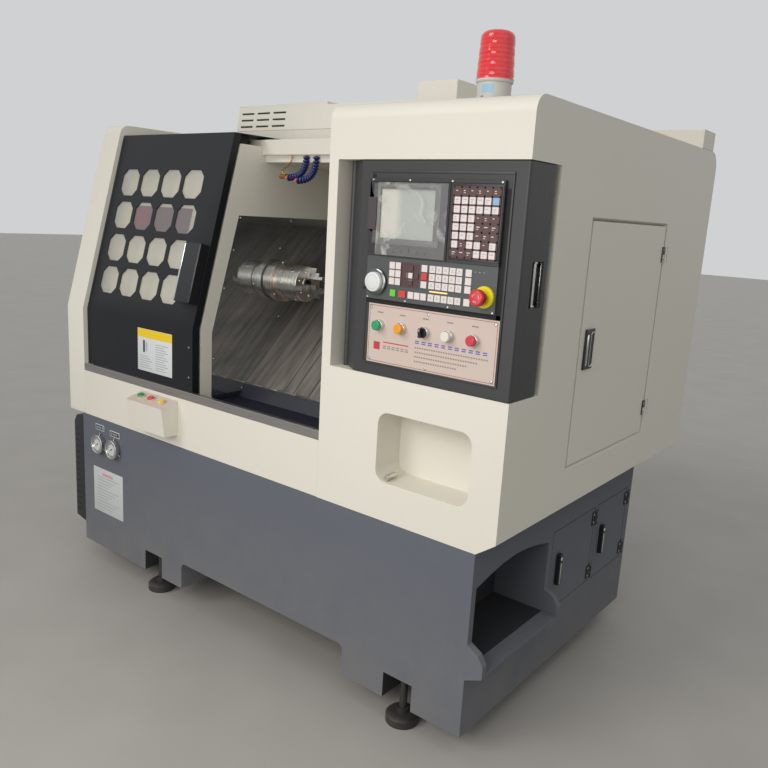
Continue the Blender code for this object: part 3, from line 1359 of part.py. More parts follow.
def machine_keys(left, low):
    """Left, lower corner and size of each key on the machine panel."""
    key_x, key_z = KEY_PITCH_X - KEY_GAP, KEY_PITCH_Z - KEY_GAP
    blocks = [
        (MODE_KEYS_X, UPPER_KEYS_Z, 2, 3),
        (STEP_KEYS_X, UPPER_KEYS_Z, 1, 3),
        (FUNCTION_KEYS_X, UPPER_KEYS_Z, 5, 3),
        (COOLANT_KEYS_X, UPPER_KEYS_Z, 1, 3),
        (RESET_KEY_X, LOWER_KEYS_Z, 1, 1),
        (FEED_KEYS_X, LOWER_KEYS_Z, 3, 1),
        (FUNCTION_KEYS_X, LOWER_KEYS_Z, 5, 1),
        (COOLANT_KEYS_X, LOWER_KEYS_Z, 1, 1),
    ]
    found = []
    for x, z, columns, rows in blocks:
        for column in range(columns):
            for row in range(rows):
                found.append((left + x + column * KEY_PITCH_X, low + z + row * KEY_PITCH_Z,
                              key_x, key_z))
    middle_x, middle_z = left + ARROW_KEYS_X, low + ARROW_KEYS_Z
    small = key_x * SMALL_KEY
    for step_x, step_z in ((0, 0), (1, 0), (-1, 0), (0, 1), (0, -1)):
        found.append((middle_x + step_x * KEY_PITCH_X * ARROW_SPREAD,
                      middle_z + step_z * KEY_PITCH_Z * ARROW_SPREAD, small, small))
    found.append((left + CYCLE_KEY_X, low + LOWER_KEYS_Z, key_x * WIDE_KEY, key_z))
    return found


def build_console():
    axis = pivot("console_hinge", (HINGE_X, HINGE_INSET_Y, 0.0))
    low = CONSOLE_BAY_BOTTOM_Z + CONSOLE_GAP
    high = CONSOLE_BAY_TOP_Z - CONSOLE_GAP
    outline = rounded([
        (CONSOLE_X, CONSOLE_FACET_Y),
        (CONSOLE_X + CONSOLE_FACET_X, 0.0),
        (RIGHT_X, 0.0, 0.006),
        (RIGHT_X, CONSOLE_DEPTH, CONSOLE_ROUNDING),
        (CONSOLE_X, CONSOLE_DEPTH),
    ])
    shell = along_z("console_shell", outline, low, high, BLACK)
    pin = rod("console_pin", (HINGE_X, HINGE_INSET_Y, CONSOLE_BAY_BOTTOM_Z + SEAT_GAP),
              (HINGE_X, HINGE_INSET_Y, CONSOLE_BAY_TOP_Z - SEAT_GAP), HINGE_PIN_RADIUS)
    sheet = box("console_front_sheet", (PANEL_X, -PANEL_THICKNESS, PANEL_BOTTOM_Z),
                (PANEL_X + PANEL_WIDTH, PANEL_THICKNESS, PANEL_TOP_Z))
    recess = box("pull_recess", (RIGHT_X - PULL_DEPTH, PULL_FRONT_Y, PULL_BOTTOM_Z),
                 (RIGHT_X + PULL_DEPTH, PULL_BACK_Y, PULL_TOP_Z))
    join(shell, pin, sheet)
    cut(shell, recess)
    pull_y = (PULL_FRONT_Y + PULL_BACK_Y) / 2
    pull_x = RIGHT_X - 2 * PULL_BAR
    pull = rod("pull_handle", (pull_x, pull_y, PULL_BOTTOM_Z + SEAT_GAP),
               (pull_x, pull_y, PULL_TOP_Z - SEAT_GAP), PULL_BAR, STEEL, sides=12)
    carry(axis, shell, pin, sheet, recess, pull)
    face = -PANEL_THICKNESS - SEAT_GAP
    build_cnc_unit(axis, face)
    panel_face = build_machine_panel(axis, face)
    build_handwheel(axis, panel_face - SEAT_GAP)
    build_stop_button(axis, panel_face)
    build_switches(axis, face)


def build_cnc_unit(axis, face):
    front = face - CNC_THICKNESS
    unit = box("cnc_unit", (CNC_X, front, CNC_BOTTOM_Z), (CNC_X + CNC_WIDTH, face, CNC_TOP_Z), BLACK)
    screen = box("screen_recess", (CNC_X + SCREEN_X, front - SHEET, SCREEN_BOTTOM_Z),
                 (CNC_X + SCREEN_X + SCREEN_WIDTH, front + SCREEN_RECESS, SCREEN_TOP_Z))
    limits = []
    for column in range(MDI_COLUMNS):
        for row in range(MDI_ROWS):
            limits.append((CNC_X + MDI_X + column * MDI_PITCH_X, MDI_BOTTOM_Z + row * MDI_PITCH_Z,
                           MDI_PITCH_X - KEY_GAP, MDI_PITCH_Z - KEY_GAP))
    for number in range(SOFT_KEYS):
        limits.append((CNC_X + SOFT_KEY_X + number * SOFT_KEY_PITCH, SOFT_KEY_Z,
                       SOFT_KEY_WIDTH, SOFT_KEY_HEIGHT))
    caps = keys("mdi_keys", limits, front)
    cover = box("card_cover", (CNC_X + SEAT_GAP, front - CARD_COVER_REACH, CARD_COVER_BOTTOM_Z),
                (CNC_X + CARD_COVER_WIDTH, front + EDGE, CARD_COVER_TOP_Z))
    cut(unit, screen)
    join(unit, caps, cover)
    carry(axis, unit, screen, caps, cover)


def build_machine_panel(axis, face):
    front = face - MACHINE_PANEL_THICKNESS
    left, low = CNC_X, MACHINE_PANEL_BOTTOM_Z
    panel = box("machine_panel", (left, front, low),
                (left + MACHINE_PANEL_WIDTH, face, CNC_BOTTOM_Z - SEAT_GAP), CHARCOAL)
    caps = keys("machine_keys", machine_keys(left, low), front)
    bore = STOP_NECK_RADIUS + SEAT_GAP
    ring = turned("stop_ring", [
        (STOP_RING_RADIUS - 3 * EDGE, STOP_RING_HEIGHT),
        (STOP_RING_RADIUS, STOP_RING_HEIGHT - 3 * EDGE),
        (STOP_RING_RADIUS, -EDGE),
        (bore, -EDGE),
        (bore, STOP_RING_HEIGHT),
    ], (left + STOP_X, front, STOP_Z), (0, -1, 0), closed=True)
    join(panel, caps, ring)
    carry(axis, panel, caps, ring)
    return front


def build_handwheel(axis, face):
    x, z = CNC_X + HANDWHEEL_X, HANDWHEEL_Z
    wheel_axis = pivot("handwheel_axis", (x, face, z))
    carry(axis, wheel_axis)
    rim = HANDWHEEL_RADIUS
    wheel = turned("handwheel", [
        (0.0, HANDWHEEL_THICKNESS - HANDWHEEL_DISH),
        (rim * 0.74, HANDWHEEL_THICKNESS - HANDWHEEL_DISH),
        (rim * 0.80, HANDWHEEL_THICKNESS),
        (rim - 2 * EDGE, HANDWHEEL_THICKNESS),
        (rim, HANDWHEEL_THICKNESS - 2 * EDGE),
        (rim, HANDWHEEL_FOOT),
        (rim * 0.86, HANDWHEEL_FOOT),
        (rim * 0.86, 0.0),
        (0.0, 0.0),
    ], (0.0, 0.0, 0.0), (0, -1, 0), CHROME)
    knob_x = HANDWHEEL_KNOB_OFFSET * cos(HANDWHEEL_KNOB_ANGLE)
    knob_z = HANDWHEEL_KNOB_OFFSET * sin(HANDWHEEL_KNOB_ANGLE)
    knob = rod("handwheel_knob", (knob_x, -HANDWHEEL_THICKNESS / 2, knob_z),
               (knob_x, -HANDWHEEL_THICKNESS - HANDWHEEL_KNOB_HEIGHT, knob_z),
               HANDWHEEL_KNOB_RADIUS, sides=12)
    wheel.parent = wheel_axis
    knob.parent = wheel_axis
    join(wheel, knob)


def build_stop_button(axis, face):
    start = STOP_TRAVEL + 2 * SEAT_GAP
    head = STOP_REACH - STOP_HEAD_HEIGHT
    profile = [(0.0, STOP_REACH)]
    for step in range(1, ARC_STEPS + 1):
        angle = pi / 2 * (1 - step / ARC_STEPS)
        profile.append((STOP_HEAD_RADIUS - STOP_ROUNDING + STOP_ROUNDING * cos(angle),
                        STOP_REACH - STOP_ROUNDING + STOP_ROUNDING * sin(angle)))
    profile += [
        (STOP_HEAD_RADIUS, head + 2 * EDGE),
        (STOP_HEAD_RADIUS - 2 * EDGE, head),
        (STOP_NECK_RADIUS, head - EDGE),
        (STOP_NECK_RADIUS, start),
        (0.0, start),
    ]
    button = turned("stop_button", profile, (CNC_X + STOP_X, face, STOP_Z), (0, -1, 0), RED)
    carry(axis, button)


def build_switches(axis, face):
    left = PANEL_X + SWITCH_PLATE_X
    front = face - SWITCH_PLATE_THICKNESS
    plate_box = box("switch_panel", (left, front, PANEL_BOTTOM_Z),
                    (left + SWITCH_PLATE_WIDTH, face, SWITCH_PLATE_TOP_Z), PINK)
    carry(axis, plate_box)
    looks = (("green", GREEN), ("orange", ORANGE), ("selector", BLACK), ("white", WHITE), ("red", RED))
    for number in range(SWITCH_COUNT):
        colour, look = looks[number]
        place = (left + SWITCH_X + number * SWITCH_PITCH, front, SWITCH_Z)
        ring = collar(f"switch_collar_{colour}", COLLAR_HEIGHT, place, (0, -1, 0))
        join(plate_box, ring)
        carry(axis, ring)
        if colour == "selector":
            build_selector(axis, place, look)
        else:
            button = turned(f"button_{colour}", button_profile(BUTTON_HEIGHT), place, (0, -1, 0),
                            look, steps=SMALL_STEPS)
            carry(axis, button)


def build_selector(axis, place, look):
    knob_axis = pivot("selector_axis", place)
    carry(axis, knob_axis)
    reach = COLLAR_HEIGHT + SELECTOR_FLANGE
    knob = turned("mode_selector", [
        (0.0, reach),
        (BUTTON_RADIUS - EDGE, reach),
        (BUTTON_RADIUS, reach - EDGE),
        (BUTTON_RADIUS, SEAT_GAP),
        (0.0, SEAT_GAP),
    ], (0.0, 0.0, 0.0), (0, -1, 0), look, steps=SMALL_STEPS)
    half = SELECTOR_LEVER / 2
    lever = box("selector_lever", (-half, -reach - SELECTOR_LEVER_HEIGHT, -BUTTON_RADIUS + EDGE),
                (half, -reach + EDGE, BUTTON_RADIUS - EDGE))
    knob.parent = knob_axis
    lever.parent = knob_axis
    join(knob, lever)


def build_side_door():
    axis = pivot("side_door_hinge", (RIGHT_X + KNUCKLE_OFFSET, SIDE_RECESS_BACK_Y, 0.0))
    inner = RIGHT_X - SIDE_DOOR_THICKNESS
    front_y = SIDE_RECESS_FRONT_Y + SIDE_DOOR_FRONT_GAP
    back_y = SIDE_RECESS_BACK_Y - SIDE_DOOR_BACK_GAP
    door = box("side_door", (inner, front_y, SIDE_RECESS_BOTTOM_Z + SIDE_DOOR_END_GAP),
               (RIGHT_X - SEAT_GAP, back_y, SIDE_RECESS_TOP_Z - SIDE_DOOR_END_GAP), CREAM)
    levels = (SIDE_HINGE_UPPER_Z, SIDE_HINGE_LOWER_Z)
    before = set(CUTTERS.objects)
    moving_hinges(door, "side_door_hinge", RIGHT_X, SIDE_RECESS_BACK_Y, levels)
    carry(axis, door, *[tool for tool in CUTTERS.objects if tool not in before])
    build_side_latch(axis)


def build_side_latch(axis):
    """A paddle that lifts about its rounded upper end."""
    half = SIDE_LATCH_THICKNESS / 2
    top = SIDE_LATCH_Z + SIDE_LATCH_HEIGHT / 2
    latch_axis = pivot("side_latch_axis", (RIGHT_X + half, SIDE_LATCH_Y, top - half))
    outline = [(-half, -SIDE_LATCH_HEIGHT + half), (half, -SIDE_LATCH_HEIGHT + half)]
    for step in range(ARC_STEPS + 1):
        angle = pi * step / ARC_STEPS
        outline.append((half * cos(angle), half * sin(angle)))
    latch = along_y("side_latch", outline, -SIDE_LATCH_WIDTH / 2, SIDE_LATCH_WIDTH / 2, DARK_STEEL)
    carry(axis, latch_axis)
    latch.parent = latch_axis


def build_base_doors():
    doors = ((BASE_DOOR_1_Y, BASE_DOOR_1_WIDTH), (BASE_DOOR_2_Y, BASE_DOOR_2_WIDTH))
    for number, (y, width) in enumerate(doors, 1):
        hinge_y = y + width + DOOR_GAP
        axis = pivot(f"base_door_{number}_hinge", (BASE_RIGHT_X + KNUCKLE_OFFSET, hinge_y, 0.0))
        door = box(f"base_door_{number}", (BASE_RIGHT_X - BASE_DOOR_THICKNESS, y, BASE_DOOR_BOTTOM_Z),
                   (BASE_RIGHT_X - SEAT_GAP, y + width, BASE_DOOR_TOP_Z), SLATE)
        before = set(CUTTERS.objects)
        moving_hinges(door, f"base_door_{number}_hinge", BASE_RIGHT_X, hinge_y, base_hinge_levels())
        carry(axis, door, *[tool for tool in CUTTERS.objects if tool not in before])
        latch_axis = pivot(f"base_latch_{number}_axis",
                           (BASE_RIGHT_X, y + BASE_LATCH_INSET, BASE_LATCH_Z))
        carry(axis, latch_axis)
        half_y, half_z = BASE_LATCH_WIDTH / 2, BASE_LATCH_LENGTH / 2
        latch = box(f"base_latch_{number}", (0.0, -half_y, -half_z),
                    (BASE_LATCH_HEIGHT, half_y, half_z), DARK_STEEL)
        latch.parent = latch_axis


def build_lathe():
    build_left_cheek()
    build_headstock_housing()
    build_centre_housing()
    build_enclosure_floor()
    build_right_cabinet()
    build_roof_pieces()
    build_beacon()
    build_sill()
    build_base()
    build_feet()
    build_vent_guard()
    build_gauges()
    build_pendant()
    build_bed()
    build_splash_sheet()
    build_spindle_nose()
    build_chuck()
    build_hoses()
    build_carriage()
    build_sliding_door()
    build_console()
    build_side_door()
    build_base_doors()
    root = pivot("lathe_origin", (CENTRE_X, FRONT_Y, 0.0))
    for made in bpy.data.objects:
        if made.parent is None and made is not root:
            made.parent = root


build_lathe()
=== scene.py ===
import bmesh
import bpy
from math import cos, pi, radians, sin
from mathutils import Matrix, Vector


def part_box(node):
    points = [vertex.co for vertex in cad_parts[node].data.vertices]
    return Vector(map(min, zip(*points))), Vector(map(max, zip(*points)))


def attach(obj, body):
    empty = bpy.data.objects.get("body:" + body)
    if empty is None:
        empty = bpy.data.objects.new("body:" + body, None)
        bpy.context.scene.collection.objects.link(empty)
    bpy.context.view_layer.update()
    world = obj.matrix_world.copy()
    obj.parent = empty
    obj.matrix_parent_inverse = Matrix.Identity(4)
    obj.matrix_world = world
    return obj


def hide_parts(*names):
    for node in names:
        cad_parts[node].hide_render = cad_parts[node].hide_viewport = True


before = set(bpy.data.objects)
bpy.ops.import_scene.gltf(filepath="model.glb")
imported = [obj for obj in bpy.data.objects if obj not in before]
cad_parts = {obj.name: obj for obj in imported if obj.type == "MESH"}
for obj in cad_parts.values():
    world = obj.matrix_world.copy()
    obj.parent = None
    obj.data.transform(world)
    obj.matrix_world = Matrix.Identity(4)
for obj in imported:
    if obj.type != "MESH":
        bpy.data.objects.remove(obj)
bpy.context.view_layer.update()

scene = bpy.context.scene
scene.view_settings.view_transform = "Standard"


# Camera, at the spot from which the lathe was seen: in front of its right end and a little
# above the console, turned down and to the left.
def put(name, data):
    """A new object in the scene."""
    made = bpy.data.objects.new(name, data)
    scene.collection.objects.link(made)
    return made


camera_data = bpy.data.cameras.new("camera")
camera_data.sensor_width = 36.0
camera_data.lens = 35.93
camera_data.clip_start = 0.05
camera = put("camera", camera_data)
camera.matrix_world = Matrix((
    (0.78057201, -0.17585175, 0.59981956, 1.94515),
    (0.62247121, 0.13134457, -0.77154274, -2.3732),
    (0.05689409, 0.97561507, 0.21198655, 1.5051),
    (0.0, 0.0, 0.0, 1.0),
))
scene.camera = camera


# Floor and light: a pale studio floor that runs out of sight under a surround that is darker low
# down. A broad soft lamp stands high on the left front and a weak one on the right, and two soft
# panels light the opening from the front.
def tint(red, green, blue):
    """Linear colour of a shade given as it is seen, from 0 to 255."""
    return tuple(((v / 255 + 0.055) / 1.055) ** 2.4 if v > 10 else v / 255 / 12.92
                 for v in (red, green, blue)) + (1.0,)


def dress(made, **settings):
    """Sets a shader node's properties, and its inputs by their names."""
    for label, value in settings.items():
        if hasattr(made, label):
            setattr(made, label, value)
        else:
            made.inputs[label.replace("_", " ")].default_value = value
    return made


def node(tree, kind, **settings):
    return dress(tree.nodes.new(f"ShaderNode{kind}"), **settings)


def wire(tree, *rows):
    """Links nodes: each row is a node and its output, then another node and its input."""
    for source, given, target, taken in rows:
        tree.links.new(source.outputs[given], target.inputs[taken])


def placed(tree, kind, **settings):
    """A node that works on the place of each point on its object, in metres."""
    made = node(tree, kind, **settings)
    wire(tree, (node(tree, "TexCoord"), "Object", made, "Vector"))
    return made


def ramp(tree, low, high, start=0.0, end=1.0):
    """A colour ramp between two colours."""
    made = node(tree, "ValToRGB")
    for stop, colour, position in zip(made.color_ramp.elements, (low, high), (start, end)):
        stop.color = colour
        stop.position = position
    return made


def blank_material(name, **settings):
    """A new material, its node tree and its shader."""
    made = bpy.data.materials.new(name)
    made.use_nodes = True
    return made, made.node_tree, dress(made.node_tree.nodes["Principled BSDF"], **settings)


def grained(name, shades, rough, scale, detail=2.0, stops=(0.0, 1.0), stretch=(1.0, 1.0, 1.0),
            turn=0.0, metallic=1.0):
    """A finish with one or two shades and a roughness that follow a cloudy pattern."""
    made, tree, shader = blank_material(name, Metallic=metallic)
    drawn = placed(tree, "Mapping", Scale=stretch, Rotation=(radians(turn), 0.0, 0.0))
    cloud = node(tree, "TexNoise", Scale=scale, Detail=detail)
    wire(tree, (drawn, "Vector", cloud, "Vector"))
    if len(shades) == 2:
        blend = ramp(tree, tint(*shades[0]), tint(*shades[1]), *stops)
        wire(tree, (cloud, "Fac", blend, "Fac"), (blend, "Color", shader, "Base Color"))
    else:
        dress(shader, Base_Color=tint(*shades[0]))
    if isinstance(rough, tuple):
        spread = node(tree, "MapRange", To_Min=rough[0], To_Max=rough[1])
        wire(tree, (cloud, "Fac", spread, "Value"), (spread, "Result", shader, "Roughness"))
    else:
        dress(shader, Roughness=rough)
    return made


floor_look = grained("studio_floor", ((160, 156, 151), (176, 172, 167)), 0.55, 3.0, 5.0,
                     metallic=0.0)
bm = bmesh.new()
bmesh.ops.create_grid(bm, x_segments=2, y_segments=2, size=30.0)
floor_mesh = bpy.data.meshes.new("studio_floor")
bm.to_mesh(floor_mesh)
bm.free()
floor_mesh.materials.append(floor_look)
floor = put("studio_floor", floor_mesh)
floor.location = (0.0, 0.0, -0.0005)

world = bpy.data.worlds.new("studio")
world.use_nodes = True
scene.world = world
tree = world.node_tree
surround = dress(tree.nodes["Background"], Color=(0.96, 0.985, 0.98, 1.0))
sky_place = node(tree, "TexCoord")
sky_split = node(tree, "SeparateXYZ")
sky_range = node(tree, "MapRange", From_Min=-0.05, From_Max=0.75, To_Min=0.10, To_Max=0.58)
backdrop = node(tree, "Background", Color=tint(208, 209, 210))
seen = node(tree, "LightPath")
mirrored = node(tree, "Math", operation="MAXIMUM")
shown = node(tree, "Math", operation="MAXIMUM")
choose = node(tree, "MixShader")
wire(tree, (sky_place, "Generated", sky_split, "Vector"), (sky_split, "Z", sky_range, "Value"),
     (sky_range, "Result", surround, "Strength"), (seen, "Is Glossy Ray", mirrored, 0),
     (seen, "Is Transmission Ray", mirrored, 1), (seen, "Is Camera Ray", shown, 0),
     (mirrored, 0, shown, 1), (shown, 0, choose, "Fac"), (surround, 0, choose, 1),
     (backdrop, 0, choose, 2), (choose, 0, tree.nodes["World Output"], "Surface"))


def lamp(name, kind, energy, colour, toward, place=(0.0, 0.0, 0.0), **settings):
    """A soft lamp, by the direction in which it lies."""
    data = bpy.data.lights.new(name, kind)
    data.energy = energy
    data.color = colour
    for label, value in settings.items():
        setattr(data, label, value)
    made = put(name, data)
    made.location = place
    made.rotation_euler = Vector(toward).to_track_quat("Z", "Y").to_euler()


sun_white, panel_white = (1.0, 0.985, 0.96), (1.0, 0.975, 0.94)
lamp("key_lamp", "SUN", 0.88, sun_white, (-0.36, -0.80, 0.58), angle=radians(26.0))
lamp("fill_lamp", "SUN", 0.23, sun_white, (0.75, -0.35, 0.60), angle=radians(70.0))
lamp("front_panel_lamp", "AREA", 17.5, panel_white, (1.40, -2.45, 0.62), (1.15, -2.75, 1.75),
     shape="DISK", size=1.3)
lamp("opening_lamp", "AREA", 7.5, panel_white, (0.25, -2.45, 0.05), (0.20, -2.75, 1.25),
     shape="DISK", size=1.3)


# Finishes of the cabinet: a baked cream paint over sheet steel, with the faint orange peel of
# a sprayed coat, slow changes of tone and a little dust toward the floor.
paint_film = bpy.data.node_groups.new("paint_film", "ShaderNodeTree")
for label, way, kind in (
    ("Paint", "INPUT", "Color"), ("Tone", "INPUT", "Float"), ("Peel", "INPUT", "Float"),
    ("Gloss", "INPUT", "Float"), ("Dust", "INPUT", "Float"), ("Color", "OUTPUT", "Color"),
    ("Roughness", "OUTPUT", "Float"), ("Height", "OUTPUT", "Float"),
):
    paint_film.interface.new_socket(label, in_out=way, socket_type=f"NodeSocket{kind}")
tree, mottle_share = paint_film, 0.10
film_in = tree.nodes.new("NodeGroupInput")
film_out = tree.nodes.new("NodeGroupOutput")
slow = placed(tree, "TexNoise", Scale=1.6, Detail=3.0)
mottle = placed(tree, "TexNoise", Scale=46.0, Detail=3.0)
peel = placed(tree, "TexNoise", Detail=2.0)
dust_patch = placed(tree, "TexNoise", Scale=9.0, Detail=6.0)
split = placed(tree, "SeparateXYZ")
both = node(tree, "Math", operation="ADD")
shade = node(tree, "Math", operation="MULTIPLY_ADD")
shade.inputs[1].default_value = -0.5
shade.inputs[2].default_value = 1.5
tone_range = node(tree, "Mix", data_type="FLOAT", A=1.0)
grey = node(tree, "CombineColor")
darker = node(tree, "Mix", data_type="RGBA", blend_type="MULTIPLY", Factor=1.0)
near_floor = node(tree, "MapRange", From_Min=0.55, From_Max=0.02)
dusty = node(tree, "Math", operation="MULTIPLY")
dust_share = node(tree, "Math", operation="MULTIPLY")
with_dust = node(tree, "Mix", data_type="RGBA", B=tint(170, 160, 142))
rough = node(tree, "Math", operation="MULTIPLY_ADD")
rough.inputs[1].default_value = mottle_share
wire(tree, (film_in, "Peel", peel, "Scale"), (slow, "Fac", both, 0), (mottle, "Fac", both, 1),
     (both, 0, shade, 0), (film_in, "Tone", tone_range, "Factor"), (shade, 0, tone_range, "B"),
     *((tone_range, "Result", grey, channel) for channel in ("Red", "Green", "Blue")),
     (film_in, "Paint", darker, "A"), (grey, "Color", darker, "B"),
     (split, "Z", near_floor, "Value"), (near_floor, "Result", dusty, 0),
     (dust_patch, "Fac", dusty, 1), (dusty, 0, dust_share, 0),
     (film_in, "Dust", dust_share, 1), (dust_share, 0, with_dust, "Factor"),
     (darker, "Result", with_dust, "A"), (with_dust, "Result", film_out, "Color"),
     (mottle, "Fac", rough, 0), (film_in, "Gloss", rough, 2), (rough, 0, film_out, "Roughness"),
     (peel, "Fac", film_out, "Height"))


def painted(name, colour, gloss=0.36, tone=0.10, peel=260.0, depth=0.06, dust=0.0, **settings):
    """A sprayed, moulded or printed finish of one colour."""
    made, tree, shader = blank_material(name, **settings)
    film = node(tree, "Group", node_tree=paint_film, Paint=tint(*colour), Tone=tone, Peel=peel,
                Gloss=gloss - mottle_share / 2, Dust=dust)
    bump = node(tree, "Bump", Strength=depth, Distance=0.0004)
    wire(tree, (film, "Color", shader, "Base Color"), (film, "Roughness", shader, "Roughness"),
         (film, "Height", bump, "Height"), (bump, "Normal", shader, "Normal"))
    return made


def settle(bm, name, looks, body="cabinet", stands_for=(), crease=32):
    """Turns a finished bmesh into a piece that rides on its body."""
    bmesh.ops.remove_doubles(bm, verts=bm.verts, dist=0.00001)
    bmesh.ops.recalc_face_normals(bm, faces=bm.faces)
    mesh = bpy.data.meshes.new(name)
    bm.to_mesh(mesh)
    bm.free()
    for look in looks:
        mesh.materials.append(look)
    mesh.shade_smooth()
    mesh.set_sharp_from_angle(angle=radians(crease))
    piece = put(name, mesh)
    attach(piece, body)
    if stands_for:
        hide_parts(*stands_for)
    return piece


def rounded(bm, edges, width):
    """Rounds edges over with two facets."""
    bmesh.ops.bevel(bm, geom=edges, offset=width, offset_type="OFFSET", affect="EDGES",
                    segments=2, profile=0.5, clamp_overlap=True, material=-1)


def softened(source, name, look, width, body="cabinet", angle=24):
    """A solid of the frame with its arrises rounded off and its flats kept flat in the light."""
    bm = bmesh.new()
    bm.from_mesh(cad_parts[source].data)
    bmesh.ops.remove_doubles(bm, verts=bm.verts, dist=0.00002)
    bmesh.ops.dissolve_limit(bm, angle_limit=radians(0.6), verts=bm.verts, edges=bm.edges)
    arrises = [edge for edge in bm.edges
               if len(edge.link_faces) == 2 and edge.calc_face_angle(0.0) > radians(angle)]
    rounded(bm, arrises, width)
    piece = settle(bm, name, [look], body, stands_for=(source,))
    weights = piece.modifiers.new("Even light", "WEIGHTED_NORMAL")
    weights.keep_sharp = True
    weights.weight = 80
    return piece


cabinet_front = -0.6915
cream_paint = painted("cream_baked_paint", (226, 222, 210), gloss=0.44, tone=0.05, depth=0.05)
for source, name, width in (
    ("left_cheek", "left_cheek_panel", 0.003), ("headstock_housing", "headstock_panels", 0.002),
    ("centre_housing", "roof_and_header", 0.002), ("enclosure_floor", "apron", 0.002),
    ("right_cabinet", "right_cabinet_panels", 0.0025), ("hood_box", "hood_box_panels", 0.002),
    ("top_box", "roof_terminal_box", 0.002), ("rear_box", "rear_duct", 0.002),
):
    softened(source, name, cream_paint, width)


# Base: slate grey paint over a welded steel stand, a little rougher than the cabinet's coat, with
# a film of workshop dust low down. Inside the open bay and the foot cut-outs it is painted near
# black: painted shade.
def recolour(piece, look, test):
    """Gives another finish to the faces of a piece whose middle passes a test."""
    piece.data.materials.append(look)
    index = len(piece.data.materials) - 1
    for polygon in piece.data.polygons:
        if test(polygon.center):
            polygon.material_index = index


def within(low, high):
    """A test for the points between two corners."""
    return lambda spot: all(a < v < b for a, v, b in zip(low, spot, high))


slate_paint = painted("slate_baked_paint", (102, 106, 115), gloss=0.55, tone=0.12, depth=0.10,
                      dust=0.35, Specular_IOR_Level=0.06)
bay_shadow = painted("bay_painted_shade", (34, 37, 43), gloss=0.6, tone=0.2, dust=0.1)
stand = softened("base_frame", "base_stand", slate_paint, 0.0025)
stand_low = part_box("base_frame")[0]
# Faces inside the open bay and inside the foot cut-outs get a dark finish: painted shade of the
# recesses.
recolour(stand, bay_shadow, within((stand_low.x + 1.70, -0.66, 0.288),
                                   (stand_low.x + 1.90, -0.24, 0.570)))
recolour(stand, bay_shadow, lambda c: c.z < 0.165 and 0.003 < c.y - stand_low.y < 0.25)


# Levelling feet: cast pads with a rounded shoulder under zinc-plated screws, each with a lock
# nut, seen in the cut-outs of the stand; a bracket and a bolt sit behind each front screw.
def aligned(origin, along_a, along_b):
    """Placement whose own X and Y run along two directions."""
    a = Vector(along_a).normalized()
    b = Vector(along_b).normalized()
    return Matrix.Translation(origin) @ Matrix((a, b, a.cross(b))).transposed().to_4x4()


def tagged(bm, earlier, look):
    """Gives one finish to every face that wasn't among the earlier ones."""
    for face in bm.faces:
        if face not in earlier:
            face.material_index = look


def block(bm, low, high, bevel=0.0, look=0, place=None):
    """A box between two corners with rounded arrises."""
    earlier = set(bm.faces)
    made = bmesh.ops.create_cube(bm, size=1.0)["verts"]
    low, high = Vector(low), Vector(high)
    bmesh.ops.scale(bm, vec=high - low, verts=made)
    bmesh.ops.translate(bm, vec=(low + high) / 2, verts=made)
    if place is not None:
        bmesh.ops.transform(bm, matrix=place, verts=made)
    if bevel:
        rounded(bm, list({edge for vert in made for edge in vert.link_edges}), bevel)
    tagged(bm, earlier, look)


def spun(bm, profile, centre, axis, steps=24, look=0):
    """A profile of (radius, height), top to bottom, turned about an axis."""
    earlier = set(bm.faces)
    axis = Vector(axis).normalized()
    place = Matrix.Translation(centre) @ axis.to_track_quat("Z", "Y").to_matrix().to_4x4()
    verts = [bm.verts.new(place @ Vector((radius, 0.0, height))) for radius, height in profile]
    edges = [bm.edges.new(pair) for pair in zip(verts, verts[1:])]
    bmesh.ops.spin(bm, geom=verts + edges, cent=centre, axis=axis, angle=2 * pi, steps=steps,
                   use_merge=True)
    tagged(bm, earlier, look)


def screw(bm, centre, axis, radius=0.0045, look=0):
    """A round head with a socket, standing on a face."""
    profile = ((0.0, 0.08), (0.42, 0.08), (0.48, 0.50), (0.78, 0.46), (1.0, 0.16), (1.0, -0.1))
    spun(bm, [(radius * a, radius * b) for a, b in profile], centre, axis, 14, look)


def middle_of(name):
    """The centre of a solid's box."""
    low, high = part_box(name)
    return (low + high) / 2


forward, rightward, upward = (0, -1, 0), (1, 0, 0), (0, 0, 1)
cast_black = painted("cast_foot", (26, 26, 27), gloss=0.5, tone=0.3, peel=120.0, depth=0.3,
                     dust=0.12)
zinc = grained("zinc_plate", ((150, 150, 148), (196, 196, 192)), 0.34, 60.0)
# The screws above the pads get a dark steel colour rather than zinc: painted shade of the cut-outs
# they stand in.
shaded_screw_steel = painted("screw_steel_painted_shade", (74, 72, 70), gloss=0.4, tone=0.3, Metallic=0.6)
for number in range(1, 5):
    foot = softened(f"foot_{number}", f"levelling_foot_{number}", cast_black, 0.0008,
                    angle=50)
    recolour(foot, shaded_screw_steel, lambda c: c.z > 0.034)
bm = bmesh.new()
bracket_y, flange_y, bracket_back = -0.600, -0.628, -0.5935
for number in (1, 2):
    x = middle_of(f"foot_{number}").x
    block(bm, (x - 0.050, bracket_y, 0.088), (x + 0.050, bracket_back, 0.150), 0.0015)
    block(bm, (x - 0.022, flange_y, 0.120), (x + 0.020, bracket_y, 0.1268), 0.0012)
    screw(bm, (x - 0.030, bracket_y - 0.0002, 0.132), forward, 0.008)
    screw(bm, (x + 0.034, bracket_y - 0.0002, 0.104), forward, 0.006)
settle(bm, "foot_brackets", [zinc])


# Sliding door: folded steel in near-black navy paint, with a rubber seal down its left edge.
# Sixteen octagons are cut in it, and one acrylic sheet lies behind them.
def screws(name, spots, axis, radius, body="cabinet"):
    """A piece of zinc-plated screws that stand on one face."""
    bm = bmesh.new()
    for spot in spots:
        screw(bm, spot, axis, radius)
    settle(bm, name, [zinc], body)


